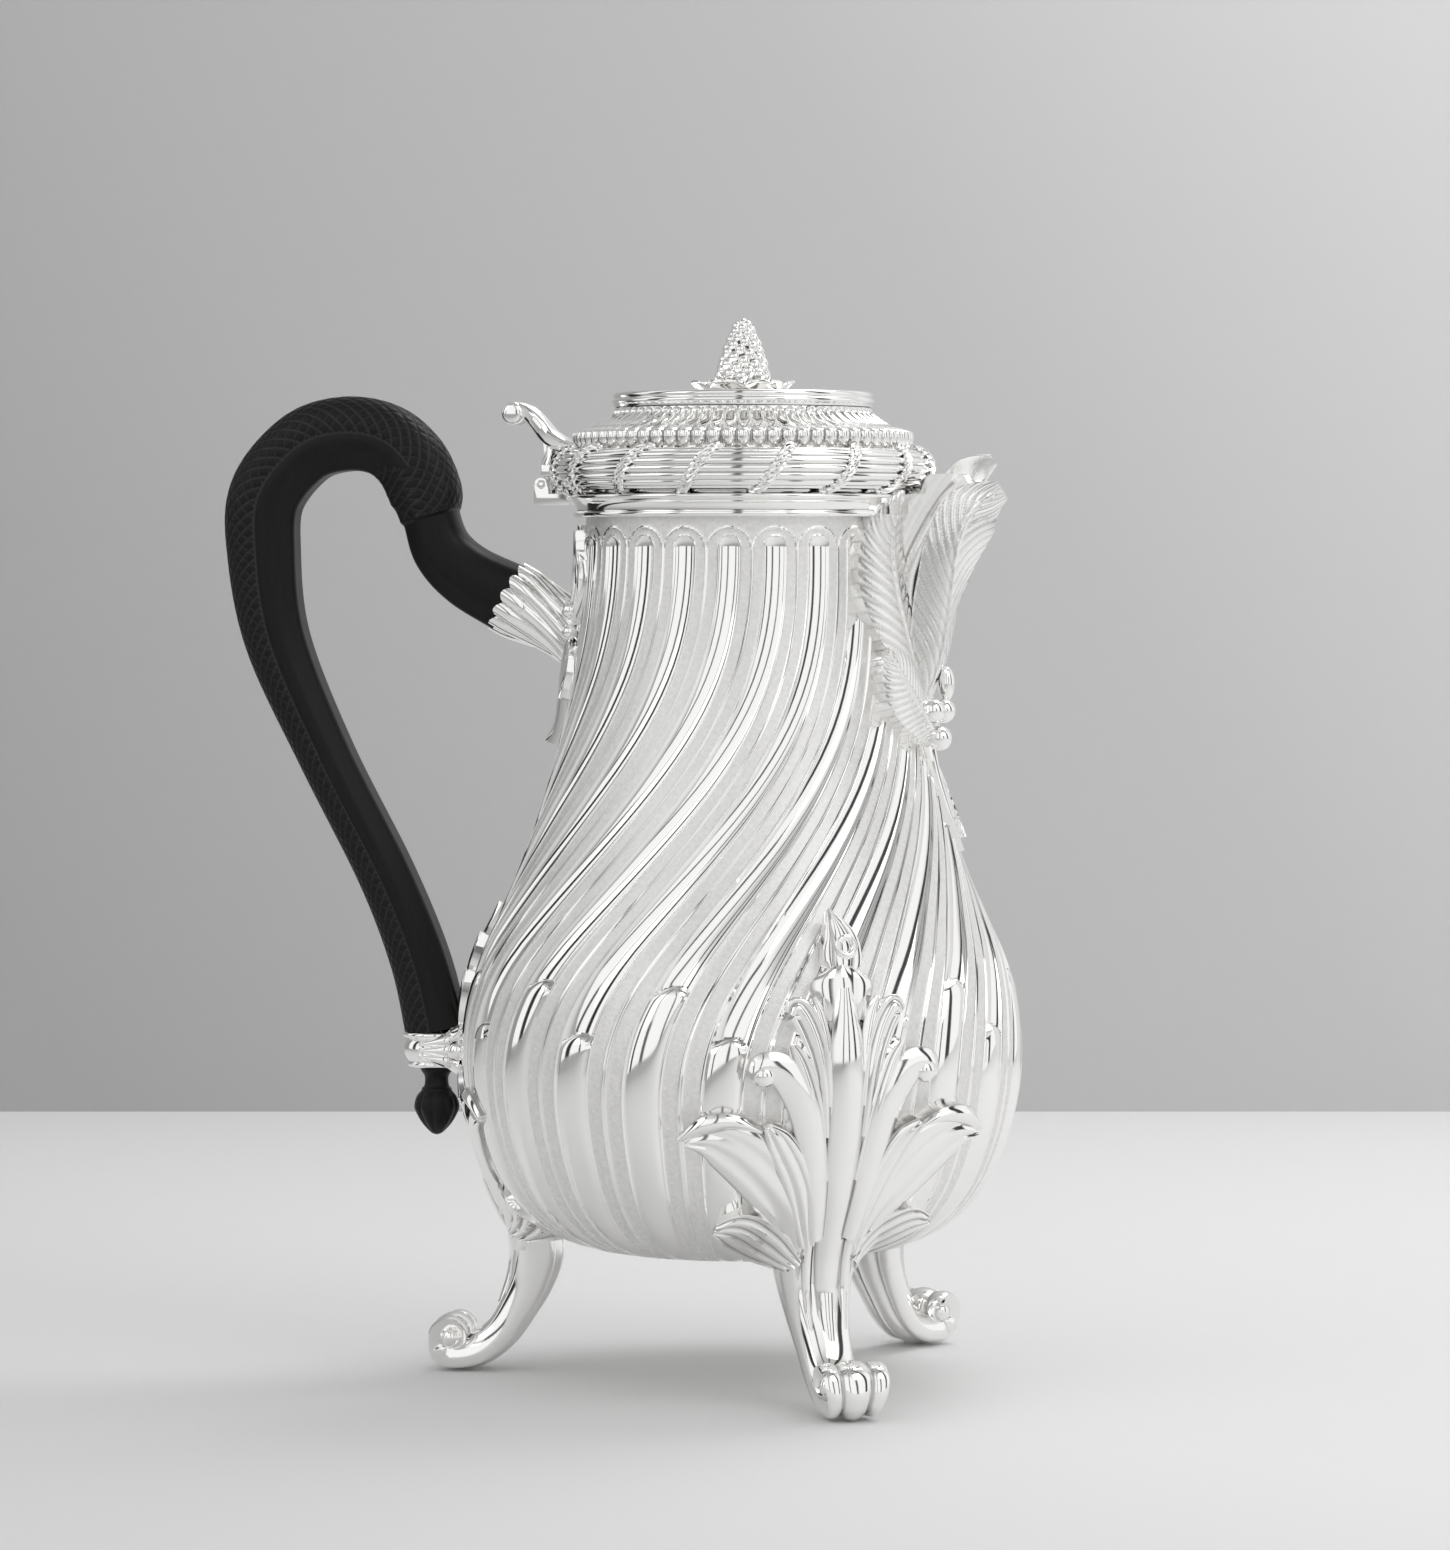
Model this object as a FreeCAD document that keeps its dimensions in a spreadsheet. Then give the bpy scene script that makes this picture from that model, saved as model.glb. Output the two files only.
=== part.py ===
import FreeCAD, Part
import math
import os
import re
import Sketcher

Vector = FreeCAD.Vector
doc = FreeCAD.newDocument("coffee_pot")

# Driving dimensions, in millimetres. The pot's axis is Z, the table is at zero height,
# the spout points along +X and the handle along -X.
SIZES = {
    # pear-shaped body of sheet silver
    "neck_radius": 43.6,
    "belly_radius": 77.1,
    "belly_height": 92.0,
    "belly_curve": 76.0,
    "base_curve": 40.0,
    "base_height": 37.0,
    "mouth_height": 246.0,
    "neck_length": 9.0,
    "body_wall": 1.0,
    "strainer_hole": 1.4,
    "strainer_pitch": 5.0,
    "strainer_drop": 24.0,
    # moulding soldered round the mouth
    "moulding_height": 6.4,
    "moulding_reach": 4.7,
    "moulding_foot": 3.3,
    "moulding_bead": 1.7,
    "moulding_lip": 1.2,
    # lid
    "lid_gap": 0.3,
    "lid_wall": 1.0,
    "lid_radius": 44.7,
    "lid_drum_height": 17.0,
    "lid_shoulder_rise": 6.7,
    "lid_shoulder_run": 9.2,
    "lid_shoulder_curve": 11.0,
    "band_lift": 0.6,
    "band_height": 11.5,
    "band_flat": 1.95,
    "top_ring_height": 4.2,
    "top_ring_width": 4.2,
    "top_ring_overhang": 1.0,
    "top_ring_foot": 1.2,
    "bezel_depth": 5.0,
    "bezel_wall": 0.8,
    "bezel_clearance": 0.6,
    # finial, held by a stud and a nut
    "rosette_radius": 13.9,
    "rosette_foot": 7.5,
    "rosette_height": 7.0,
    "rosette_edge": 1.2,
    "cone_foot": 5.6,
    "cone_radius": 7.2,
    "cone_height": 17.8,
    "cone_belly": 5.0,
    "cone_tip": 0.8,
    "stud_radius": 1.5,
    "stud_in_cone": 9.0,
    "nut_radius": 3.6,
    "nut_height": 2.4,
    "thread_clearance": 0.05,
    # hinge
    "hinge_offset": 55.6,
    "hinge_rise": 2.6,
    "hinge_width": 15.0,
    "hinge_plate": 3.2,
    "hinge_gap": 0.3,
    "knuckle_radius": 2.1,
    "knuckle_width": 6.0,
    "hinge_pin_radius": 0.9,
    "hinge_pin_clearance": 0.06,
    # thumb piece, a scroll standing on the lid's hinge leaf
    "thumb_width": 10.0,
    "thumb_thickness": 4.0,
    "thumb_rise": 14.6,
    "thumb_lean": 9.0,
    "thumb_roll": 2.8,
    # spout lip and its leaves
    "spout_reach": 26.0,
    "spout_drop": 58.0,
    "spout_rise": 6.5,
    "spout_half_width": 18.0,
    "spout_wall": 1.4,
    "leaf_thickness": 1.4,
    "solder_line": 0.2,
    "lip_leaf_width": 15.0,
    "berry_radius": 3.7,
    # handle of black wood
    "upper_socket_drop": 29.0,
    "upper_socket_reach": 21.3,
    "upper_socket_slope": 28.0,
    "upper_socket_radius": 10.2,
    "upper_socket_depth": 11.0,
    "tenon_radius": 7.0,
    "tenon_clearance": 0.15,
    "handle_thickness": 15.4,
    "handle_top_thickness": 21.0,
    "handle_arm_thickness": 19.0,
    "handle_end_thickness": 17.2,
    "handle_width": 17.0,
    "handle_corner": 5.0,
    "handle_loop_radius": 26.7,
    "handle_loop_reach": 45.6,
    "handle_loop_rise": 19.5,
    "ferrule_top": 95.5,
    "ferrule_height": 10.0,
    "ferrule_radius": 9.3,
    "ferrule_floor": 1.2,
    "ferrule_seat": 0.5,
    "handle_pin_radius": 1.2,
    "handle_pin_clearance": 0.05,
    "mount_thickness": 1.6,
    # turned drop below the ferrule
    "drop_length": 19.4,
    "drop_neck": 3.4,
    "drop_radius": 6.0,
    "drop_collar": 4.4,
    "spigot_radius": 2.6,
    "spigot_length": 2.6,
    # feet
    "foot_reach": 82.2,
    "foot_hip": 55.0,
    "foot_leaf_thickness": 2.2,
    "leg_thickness": 12.5,
    "leg_ankle_thickness": 9.6,
    "leg_root": 16.0,
    "leg_bow": 4.0,
    "leg_width": 20.0,
    "leg_ankle_width": 13.6,
    "ankle_length": 21.0,
    "toe_overlap": 4.0,
    "toe_radius": 6.8,
    "toe_height": 9.6,
    "toe_width": 18.0,
    "first_foot_angle": 60.0,
}

dims = doc.addObject("Spreadsheet::Sheet", "dims")
for row, (alias, number) in enumerate(SIZES.items(), 1):
    dims.set("A%d" % row, str(number))
    dims.setAlias("A%d" % row, alias)
doc.recompute()


def bound(formula):
    """The formula with each size written as its cell of the sheet."""
    return re.sub(r"[a-z_]+", lambda word: "dims." + word[0] if word[0] in SIZES else word[0], formula)


def value(formula):
    return float(dims.evalExpression(bound(formula)))


def named(obj, label):
    obj.Label = label
    return obj


def feature(label, shape, azimuth=0):
    """A sub-part whose form is made in code from the sheet's sizes, turned to an azimuth."""
    obj = named(doc.addObject("Part::Feature", label), label)
    solids = sorted(shape.Solids, key=lambda solid: solid.Volume)
    obj.Shape = solids[-1]
    obj.Placement = FreeCAD.Placement(Vector(), FreeCAD.Rotation(Vector(0, 0, 1), azimuth))
    return obj


# Sketched outlines

def plane_sketch(body, role):
    sketch = body.newObject("Sketcher::SketchObject", "outline")
    plane = [item for item in body.Origin.OriginFeatures if item.Role == role][0]
    sketch.AttachmentSupport = [(plane, "")]
    sketch.MapMode = "FlatFace"
    return sketch


def bind(sketch, kind, where, formula):
    index = sketch.addConstraint(Sketcher.Constraint(kind, *where, value(formula)))
    sketch.setExpression("Constraints[%d]" % index, bound(formula))


def place_point(sketch, edge, end, across, up):
    """Ties one point of a sketch to its two distances from the sketch's origin."""
    for kind, formula, axis in (("DistanceX", across, -2), ("DistanceY", up, -1)):
        if formula == "0":
            sketch.addConstraint(Sketcher.Constraint("PointOnObject", edge, end, axis))
        else:
            bind(sketch, kind, (-1, 1, edge, end), formula)


def arc_through(start, end, radius, side):
    """The short arc from start to end, with its centre on the left (1) or right (-1)."""
    chord = end - start
    left = Vector(-chord.y, chord.x, 0).normalize()
    half = chord.Length / 2
    centre = (start + end) / 2 + left * side * math.sqrt(radius ** 2 - half ** 2)
    return Part.Arc(start, centre - left * side * radius, end)


def draw_outline(sketch, corners, arcs):
    """A closed outline of lines, and of arcs where arcs gives an edge its radius and side."""
    points = [Vector(value(across), value(up), 0) for across, up in corners]
    count = len(points)
    for edge in range(count):
        start, end = points[edge], points[(edge + 1) % count]
        if edge in arcs:
            radius, side = arcs[edge]
            sketch.addGeometry(arc_through(start, end, value(radius), side))
        else:
            sketch.addGeometry(Part.LineSegment(start, end))

    def end_at(edge, point):
        first, second = sketch.getPoint(edge, 1), sketch.getPoint(edge, 2)
        return 1 if (first - point).Length < (second - point).Length else 2

    for edge, (across, up) in enumerate(corners):
        before = (edge - 1) % count
        start = end_at(edge, points[edge])
        sketch.addConstraint(
            Sketcher.Constraint("Coincident", before, end_at(before, points[edge]), edge, start))
        place_point(sketch, edge, start, across, up)
    for edge, (radius, side) in arcs.items():
        bind(sketch, "Radius", (edge,), radius)


def turned(label, corners, arcs=None):
    """A body of revolution about Z, from an outline of (radius, height) corners."""
    body = named(doc.addObject("PartDesign::Body", label), label)
    sketch = plane_sketch(body, "YZ_Plane")
    draw_outline(sketch, corners, arcs or {})
    turn = body.newObject("PartDesign::Revolution", "turn")
    turn.Profile = sketch
    turn.ReferenceAxis = (sketch, ["V_Axis"])
    turn.Angle = 360
    doc.recompute()
    return body


def side_cut(label, corners, width, arcs=None):
    """A plate cut to a side outline of (x, z) corners, centred on the XZ plane."""
    body = named(doc.addObject("PartDesign::Body", label), label)
    sketch = plane_sketch(body, "XZ_Plane")
    draw_outline(sketch, corners, arcs or {})
    pad = body.newObject("PartDesign::Pad", "thickness")
    pad.Profile = sketch
    pad.SideType = "Symmetric"
    pad.setExpression("Length", bound(width))
    doc.recompute()
    return body


# Primitives with bound sizes

def bound_box(name, low, high):
    box = doc.addObject("Part::Box", name)
    for side, start, end in zip(("Length", "Width", "Height"), low, high):
        box.setExpression(side, bound("(%s) - (%s)" % (end, start)))
    for axis, start in zip("xyz", low):
        box.setExpression("Placement.Base.%s" % axis, bound(start))
    return box


def bound_rod(name, radius, centre, start, end, axis):
    """A rod along Y or Z; centre gives its two other coordinates."""
    rod = doc.addObject("Part::Cylinder", name)
    rod.setExpression("Radius", bound(radius))
    rod.setExpression("Height", bound("(%s) - (%s)" % (end, start)))
    if axis == "y":
        rod.Placement = FreeCAD.Placement(Vector(), FreeCAD.Rotation(Vector(1, 0, 0), -90))
        base = (centre[0], start, centre[1])
    else:
        base = (centre[0], centre[1], start)
    for letter, formula in zip("xyz", base):
        rod.setExpression("Placement.Base.%s" % letter, bound(formula))
    return rod


def fused(label, items):
    joined = named(doc.addObject("Part::MultiFuse", label), label)
    joined.Shapes = items
    joined.Refine = True
    return joined


def cut_from(label, base, tool):
    result = named(doc.addObject("Part::Cut", label), label)
    result.Base = base
    result.Tool = tool
    result.Refine = True
    return result


# The pot's outer form: a straight neck, a long hollow flare, a round belly and a round base,
# each arc tangent to the next. The flare's radius follows from the others.
FLARE_Z = "(mouth_height - neck_length)"
FLARE = ("(((belly_radius - neck_radius)^2 + (%s - belly_height)^2)"
         " / (2 * (belly_radius - neck_radius)) - belly_curve)") % FLARE_Z
BELLY_R = "(belly_radius - belly_curve)"
WAIST_R = "((neck_radius + %s - %s) / (%s + belly_curve))" % (FLARE, BELLY_R, FLARE)
WAIST_Z = "((%s - belly_height) / (%s + belly_curve))" % (FLARE_Z, FLARE)
BASE_Z = "(base_height + base_curve)"
BASE_STEP = "sqrt((belly_curve - base_curve)^2 - (%s - belly_height)^2)" % BASE_Z
BASE_R = "(%s + %s)" % (BELLY_R, BASE_STEP)
TURN_R = "(%s / (belly_curve - base_curve))" % BASE_STEP
TURN_Z = "((%s - belly_height) / (belly_curve - base_curve))" % BASE_Z


def form_corner(name, skin):
    """A tangent point of the pot's form, grown outwards by skin."""
    if name == "waist":
        reach = "(belly_curve + %s)" % skin
        return (BELLY_R + " + %s * %s" % (reach, WAIST_R), "belly_height + %s * %s" % (reach, WAIST_Z))
    reach = "(base_curve + %s)" % skin
    return (BASE_R + " + %s * %s" % (reach, TURN_R), BASE_Z + " + %s * %s" % (reach, TURN_Z))


def form_radius(height):
    """The pot's outer radius at a height."""
    if height >= value(FLARE_Z):
        return value("neck_radius")
    if height >= value(form_corner("waist", "0")[1]):
        curve = value(FLARE)
        return value("neck_radius") + curve - math.sqrt(curve ** 2 - (value(FLARE_Z) - height) ** 2)
    if height >= value(form_corner("turn", "0")[1]):
        return value(BELLY_R) + math.sqrt(value("belly_curve") ** 2 - (height - value("belly_height")) ** 2)
    return value(BASE_R) + math.sqrt(value("base_curve") ** 2 - (height - value(BASE_Z)) ** 2)


def solid_form(skin, top):
    """The pot's whole outer form as a solid, grown by skin and closed at a height top."""
    grown = repr(skin)
    waist = Vector(*[value(part) for part in form_corner("waist", grown)])
    turn = Vector(*[value(part) for part in form_corner("turn", grown)])
    foot = Vector(value(BASE_R), value("base_height") - skin)
    neck = Vector(value("neck_radius") + skin, value(FLARE_Z))
    brim = Vector(neck.x, top)
    edges = [
        Part.LineSegment(Vector(0, foot.y), foot),
        arc_through(foot, turn, value("base_curve") + skin, 1),
        arc_through(turn, waist, value("belly_curve") + skin, 1),
        arc_through(waist, neck, value(FLARE) - skin, -1),
        Part.LineSegment(neck, brim),
        Part.LineSegment(brim, Vector(0, top)),
        Part.LineSegment(Vector(0, top), Vector(0, foot.y)),
    ]
    face = Part.Face(Part.Wire([edge.toShape() for edge in edges]))
    face.rotate(Vector(), Vector(1, 0, 0), 90)
    face.rotate(Vector(), Vector(0, 0, 1), 90)
    return face.revolve(Vector(), Vector(0, 0, 1), 360)


# Body shell, raised from sheet silver, with a strainer pierced behind the spout lip

INNER = "(-body_wall)"
body_shell = turned("body_shell", [
    ("0", "base_height"),
    (BASE_R, "base_height"),
    form_corner("turn", "0"),
    form_corner("waist", "0"),
    ("neck_radius", FLARE_Z),
    ("neck_radius", "mouth_height"),
    ("neck_radius - body_wall", "mouth_height"),
    ("neck_radius - body_wall", FLARE_Z),
    form_corner("waist", INNER),
    form_corner("turn", INNER),
    (BASE_R, "base_height + body_wall"),
    ("0", "base_height + body_wall"),
], {
    1: ("base_curve", 1),
    2: ("belly_curve", 1),
    3: (FLARE, -1),
    7: (FLARE + " + body_wall", 1),
    8: ("belly_curve - body_wall", -1),
    9: ("base_curve - body_wall", -1),
})

strainer = plane_sketch(body_shell, "YZ_Plane")
for row, holes in enumerate((3, 4, 3, 2)):
    for column in range(holes):
        circle = strainer.addGeometry(Part.Circle(Vector(column, row), Vector(0, 0, 1), value("strainer_hole")))
        steps = column - (holes - 1) / 2
        across = "%g * strainer_pitch" % steps if steps else "0"
        place_point(strainer, circle, 3, across, "mouth_height - strainer_drop - %d * strainer_pitch" % row)
        bind(strainer, "Radius", (circle,), "strainer_hole")
whole = body_shell.Shape.Volume
pierced = body_shell.newObject("PartDesign::Pocket", "strainer")
pierced.Profile = strainer
pierced.Type = "ThroughAll"
pierced.Reversed = True
doc.recompute()
assert body_shell.Shape.Volume < whole and body_shell.Shape.CenterOfGravity.x < 0

# Mouth moulding: a lip over a hollow and a bead

turned("rim_moulding", [
    ("neck_radius", "mouth_height - moulding_height"),
    ("neck_radius + moulding_foot", "mouth_height - moulding_height"),
    ("neck_radius + moulding_foot", "mouth_height - moulding_height + moulding_bead"),
    ("neck_radius + moulding_reach", "mouth_height - moulding_lip"),
    ("neck_radius + moulding_reach", "mouth_height"),
    ("neck_radius", "mouth_height"),
], {
    1: ("moulding_bead", 1),
    2: ("moulding_height", -1),
})

# Lid: a drum with a hollow shoulder and a flat crown

SEAT = "(mouth_height + lid_gap)"
CROWN = "(%s + lid_drum_height + lid_shoulder_rise)" % SEAT
CROWN_R = "(lid_radius - lid_shoulder_run)"
BEZEL_R = "(neck_radius - body_wall - bezel_clearance)"
BORE = "(stud_radius + thread_clearance)"
turned("lid_dome", [
    (BEZEL_R + " - bezel_wall", SEAT),
    ("lid_radius", SEAT),
    ("lid_radius", SEAT + " + lid_drum_height"),
    (CROWN_R, CROWN),
    (BORE, CROWN),
    (BORE, CROWN + " - lid_wall"),
    (CROWN_R + " - lid_wall", CROWN + " - lid_wall"),
    ("lid_radius - lid_wall", SEAT + " + lid_drum_height - lid_wall"),
    ("lid_radius - lid_wall", SEAT + " + lid_wall"),
    (BEZEL_R + " - bezel_wall", SEAT + " + lid_wall"),
], {
    2: ("lid_shoulder_curve", -1),
    6: ("lid_shoulder_curve", 1),
})

turned("lid_bezel", [
    (BEZEL_R + " - bezel_wall", SEAT + " - bezel_depth"),
    (BEZEL_R, SEAT + " - bezel_depth"),
    (BEZEL_R, SEAT),
    (BEZEL_R + " - bezel_wall", SEAT),
])

BAND_LOW = "(%s + band_lift)" % SEAT
BAND_TOP = "(%s + band_height)" % BAND_LOW
BAND_R = "(lid_radius + band_flat + band_height / 2)"
turned("lid_reeded_band", [
    ("lid_radius", BAND_LOW),
    ("lid_radius + band_flat", BAND_LOW),
    (BAND_R, BAND_LOW + " + band_height / 2"),
    ("lid_radius + band_flat", BAND_TOP),
    ("lid_radius", BAND_TOP),
], {
    1: ("band_height / 2", 1),
    2: ("band_height / 2", 1),
})

RING_R = "(%s + top_ring_overhang)" % CROWN_R
turned("lid_top_ring", [
    (RING_R + " - top_ring_width", CROWN),
    (RING_R, CROWN),
    (RING_R, CROWN + " + top_ring_foot"),
    (RING_R + " - top_ring_width / 2", CROWN + " + top_ring_height"),
    (RING_R + " - top_ring_width", CROWN + " + top_ring_foot"),
], {
    2: ("top_ring_height - top_ring_foot", 1),
    3: ("top_ring_height - top_ring_foot", 1),
})

# Finial: a leaf rosette and a berry cone on a stud, held by a nut inside the lid

turned("finial_rosette", [
    (BORE, CROWN),
    ("rosette_foot", CROWN),
    ("rosette_radius", CROWN + " + rosette_height - 2 * rosette_edge"),
    ("rosette_radius - rosette_edge", CROWN + " + rosette_height - rosette_edge"),
    ("cone_foot", CROWN + " + rosette_height"),
    (BORE, CROWN + " + rosette_height"),
], {
    1: ("rosette_radius", -1),
})

CONE = "(%s + rosette_height)" % CROWN
turned("finial_berry_cone", [
    (BORE, CONE),
    ("cone_foot", CONE),
    ("cone_radius", CONE + " + cone_belly"),
    ("cone_tip", CONE + " + cone_height"),
    ("0", CONE + " + cone_height"),
    ("0", CONE + " + stud_in_cone"),
    (BORE, CONE + " + stud_in_cone"),
], {
    1: ("cone_belly", 1),
    2: ("cone_height", 1),
})

NUT_TOP = "(%s - lid_wall)" % CROWN
named(bound_rod("stud", "stud_radius", ("0", "0"), NUT_TOP + " - nut_height - stud_radius",
                CONE + " + stud_in_cone - thread_clearance", "z"), "finial_stud")
nut_blank = doc.addObject("Part::Prism", "nut_blank")
nut_blank.Polygon = 6
nut_blank.setExpression("Circumradius", bound("nut_radius"))
nut_blank.setExpression("Height", bound("nut_height"))
nut_blank.setExpression("Placement.Base.z", bound(NUT_TOP + " - nut_height"))
nut_bore = bound_rod("nut_bore", BORE, ("0", "0"), NUT_TOP + " - 2 * nut_height", NUT_TOP + " + nut_height", "z")
cut_from("finial_nut", nut_blank, nut_bore)

# Hinge: a plate with two knuckles on the mouth moulding, and a block with one knuckle on the
# lid's band, on one pin

AXIS_X = "(-hinge_offset)"
AXIS_Z = "(mouth_height + hinge_rise)"
PLATE_TOP = "(%s - knuckle_radius - hinge_gap)" % AXIS_Z
KNUCKLE_EDGE = "(knuckle_width / 2 + hinge_gap / 2)"
PIN_BORE = "(hinge_pin_radius + hinge_pin_clearance)"
body_parts = [bound_box("hinge_plate_blank", (
    AXIS_X + " - knuckle_radius", "-hinge_width / 2", PLATE_TOP + " - hinge_plate",
), ("-neck_radius", "hinge_width / 2", PLATE_TOP))]
for name, start, end in (
        ("near", "-hinge_width / 2", "-" + KNUCKLE_EDGE), ("far", KNUCKLE_EDGE, "hinge_width / 2")):
    body_parts.append(bound_box("lug_" + name, (
        AXIS_X + " - knuckle_radius", start, PLATE_TOP + " - hinge_plate",
    ), (AXIS_X + " + knuckle_radius", end, AXIS_Z)))
    body_parts.append(bound_rod("knuckle_" + name, "knuckle_radius", (AXIS_X, AXIS_Z), start, end, "y"))
plate_blank = fused("hinge_plate_whole", body_parts)
plate_bore = bound_rod("plate_bore", PIN_BORE, (AXIS_X, AXIS_Z), "-hinge_width", "hinge_width", "y")
plate_bored = cut_from("hinge_plate_bored", plate_blank, plate_bore)
mouth_disc = bound_rod("mouth_disc", "neck_radius + moulding_reach", ("0", "0"),
                       "mouth_height - 4 * moulding_height", "mouth_height + moulding_height", "z")
cut_from("hinge_body_leaf", plate_bored, mouth_disc)

BLOCK_LOW = "(%s + knuckle_radius + hinge_gap)" % AXIS_Z
BLOCK_TOP = "(%s + hinge_plate)" % BLOCK_LOW
lid_parts = [
    bound_box("hinge_block", (AXIS_X, "-hinge_width / 2", BLOCK_LOW),
              ("-lid_radius", "hinge_width / 2", BLOCK_TOP)),
    bound_box("lid_lug", (AXIS_X, "-knuckle_width / 2 + hinge_gap / 2", AXIS_Z),
              (AXIS_X + " + knuckle_radius", "knuckle_width / 2 - hinge_gap / 2", BLOCK_TOP)),
    bound_rod("lid_knuckle", "knuckle_radius", (AXIS_X, AXIS_Z),
              "-knuckle_width / 2 + hinge_gap / 2", "knuckle_width / 2 - hinge_gap / 2", "y"),
]
block_blank = fused("hinge_block_whole", lid_parts)
block_bore = bound_rod("block_bore", PIN_BORE, (AXIS_X, AXIS_Z), "-hinge_width", "hinge_width", "y")
block_bored = cut_from("hinge_block_bored", block_blank, block_bore)
band_disc = bound_rod("band_disc", BAND_R, ("0", "0"), SEAT, BAND_TOP + " + band_height", "z")
cut_from("hinge_lid_leaf", block_bored, band_disc)
named(bound_rod("pin", "hinge_pin_radius", (AXIS_X, AXIS_Z), "-hinge_width / 2", "hinge_width / 2", "y"),
      "hinge_pin")

# Thumb piece: a scroll that stands on the lid's hinge leaf and rolls back over the hinge

ROLL_X = "(%s - thumb_lean)" % AXIS_X
ROLL_Z = "(%s + thumb_rise)" % BLOCK_TOP
side_cut("thumb_piece", [
    (AXIS_X, BLOCK_TOP),
    ("-" + BAND_R, BLOCK_TOP),
    ("-" + BAND_R, BAND_TOP),
    ("-(lid_radius + band_flat)", BAND_TOP),
    ("-(lid_radius + band_flat)", BAND_TOP + " + thumb_thickness / 2"),
    (AXIS_X + " + thumb_thickness / 2", BAND_TOP + " + thumb_thickness * 1.5"),
    (ROLL_X, ROLL_Z + " + thumb_roll"),
    (ROLL_X + " - thumb_roll", ROLL_Z),
    (ROLL_X, ROLL_Z + " - thumb_roll"),
    (AXIS_X + " - thumb_thickness / 2", BAND_TOP + " + thumb_thickness / 2"),
], "thumb_width", {
    5: ("2 * thumb_rise", -1),
    6: ("thumb_roll", 1),
    7: ("thumb_roll", 1),
    8: ("thumb_rise", 1),
})


# Cast leaves and other forms soldered to the pot

def scalloped(points, out, swell):
    """A closed edge through points, each side an arc that swells out by a share of its length."""
    edges = []
    for start, end in zip(points, points[1:] + points[:1]):
        outward = (end - start).cross(out)
        edges.append(Part.Arc(start, (start + end) / 2 + outward * swell, end).toShape())
    return Part.Wire(edges)


def pot_layer(skin):
    """The space over the pot that a casting of thickness skin fills, outside its solder."""
    inside = solid_form(value("solder_line"), value("mouth_height") + value("solder_line"))
    return solid_form(skin, value("mouth_height")).cut(inside)


def leaf_plate(right_side, azimuth, layer, swell=0.1, mirrored=True):
    """A leaf lying on the pot: its outline, as (across, height) points from bottom to top up the
    right side, is cut from a layer over the pot at an azimuth."""
    turn = FreeCAD.Rotation(Vector(0, 0, 1), azimuth)
    outline = list(right_side)
    if mirrored:
        outline += [(-across, height) for across, height in reversed(right_side) if across > 0]
    points = [turn.multVec(Vector(0, across, height)) for across, height in outline]
    out = turn.multVec(Vector(1, 0, 0))
    face = Part.Face(scalloped(points, out, swell))
    return face.extrude(out * 2 * value("belly_radius")).common(layer)


def section_wire(centre, along, thickness, width, corner):
    """A rounded rectangle square to a path in the XZ plane, with its width along Y."""
    across = Vector(0, 1, 0)
    up = across.cross(along).normalize()
    half_w, half_t = width / 2, thickness / 2
    bend = corner * (1 - math.sqrt(0.5))

    def at(a, b):
        return centre + across * a + up * b

    edges = []
    signs = [(1, 1), (-1, 1), (-1, -1), (1, -1)]
    for index, (sign_w, sign_t) in enumerate(signs):
        side = at(sign_w * half_w, sign_t * (half_t - corner))
        flat = at(sign_w * (half_w - corner), sign_t * half_t)
        middle = at(sign_w * (half_w - bend), sign_t * (half_t - bend))
        first, last = (side, flat) if index % 2 == 0 else (flat, side)
        edges.append(Part.Arc(first, middle, last).toShape())
        next_w, next_t = signs[(index + 1) % 4]
        if index % 2 == 0:
            edges.append(Part.LineSegment(flat, at(next_w * (half_w - corner), next_t * half_t)).toShape())
        else:
            edges.append(Part.LineSegment(side, at(next_w * half_w, next_t * (half_t - corner))).toShape())
    return Part.Wire(edges)


def bezier(points, share):
    rest = 1 - share
    weights = (rest ** 3, 3 * rest ** 2 * share, 3 * rest * share ** 2, share ** 3)
    total = Vector()
    for point, weight in zip(points, weights):
        total += point * weight
    return total


def bezier_along(points, share):
    rest = 1 - share
    weights = (rest ** 2, 2 * rest * share, share ** 2)
    total = Vector()
    for start, end, weight in zip(points, points[1:], weights):
        total += (end - start) * weight
    return total.normalize()


def mix(start, end, share):
    return start + (end - start) * share


neck = value("neck_radius")
mouth = value("mouth_height")

# Spout: an open lip, V-shaped in plan, that grows out of the neck below the mouth. It keeps
# clear of the lid's band.
lid_room = Part.makeCylinder(value(BAND_R) + 2 * value("lid_gap"), value("lid_drum_height") * 2,
                             Vector(0, 0, mouth))
rim_room = Part.makeCylinder(neck + value("moulding_reach"), value("moulding_height"),
                             Vector(0, 0, mouth - value("moulding_height")))
pot_room = solid_form(0.0, mouth).fuse(rim_room).fuse(lid_room)
spout_low = mouth - value("spout_drop")
spout_top = mouth + value("spout_rise")


LIP_BACK = 0.75
LIP_SWELL = 0.62
LIP_FULLNESS = 0.68


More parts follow.
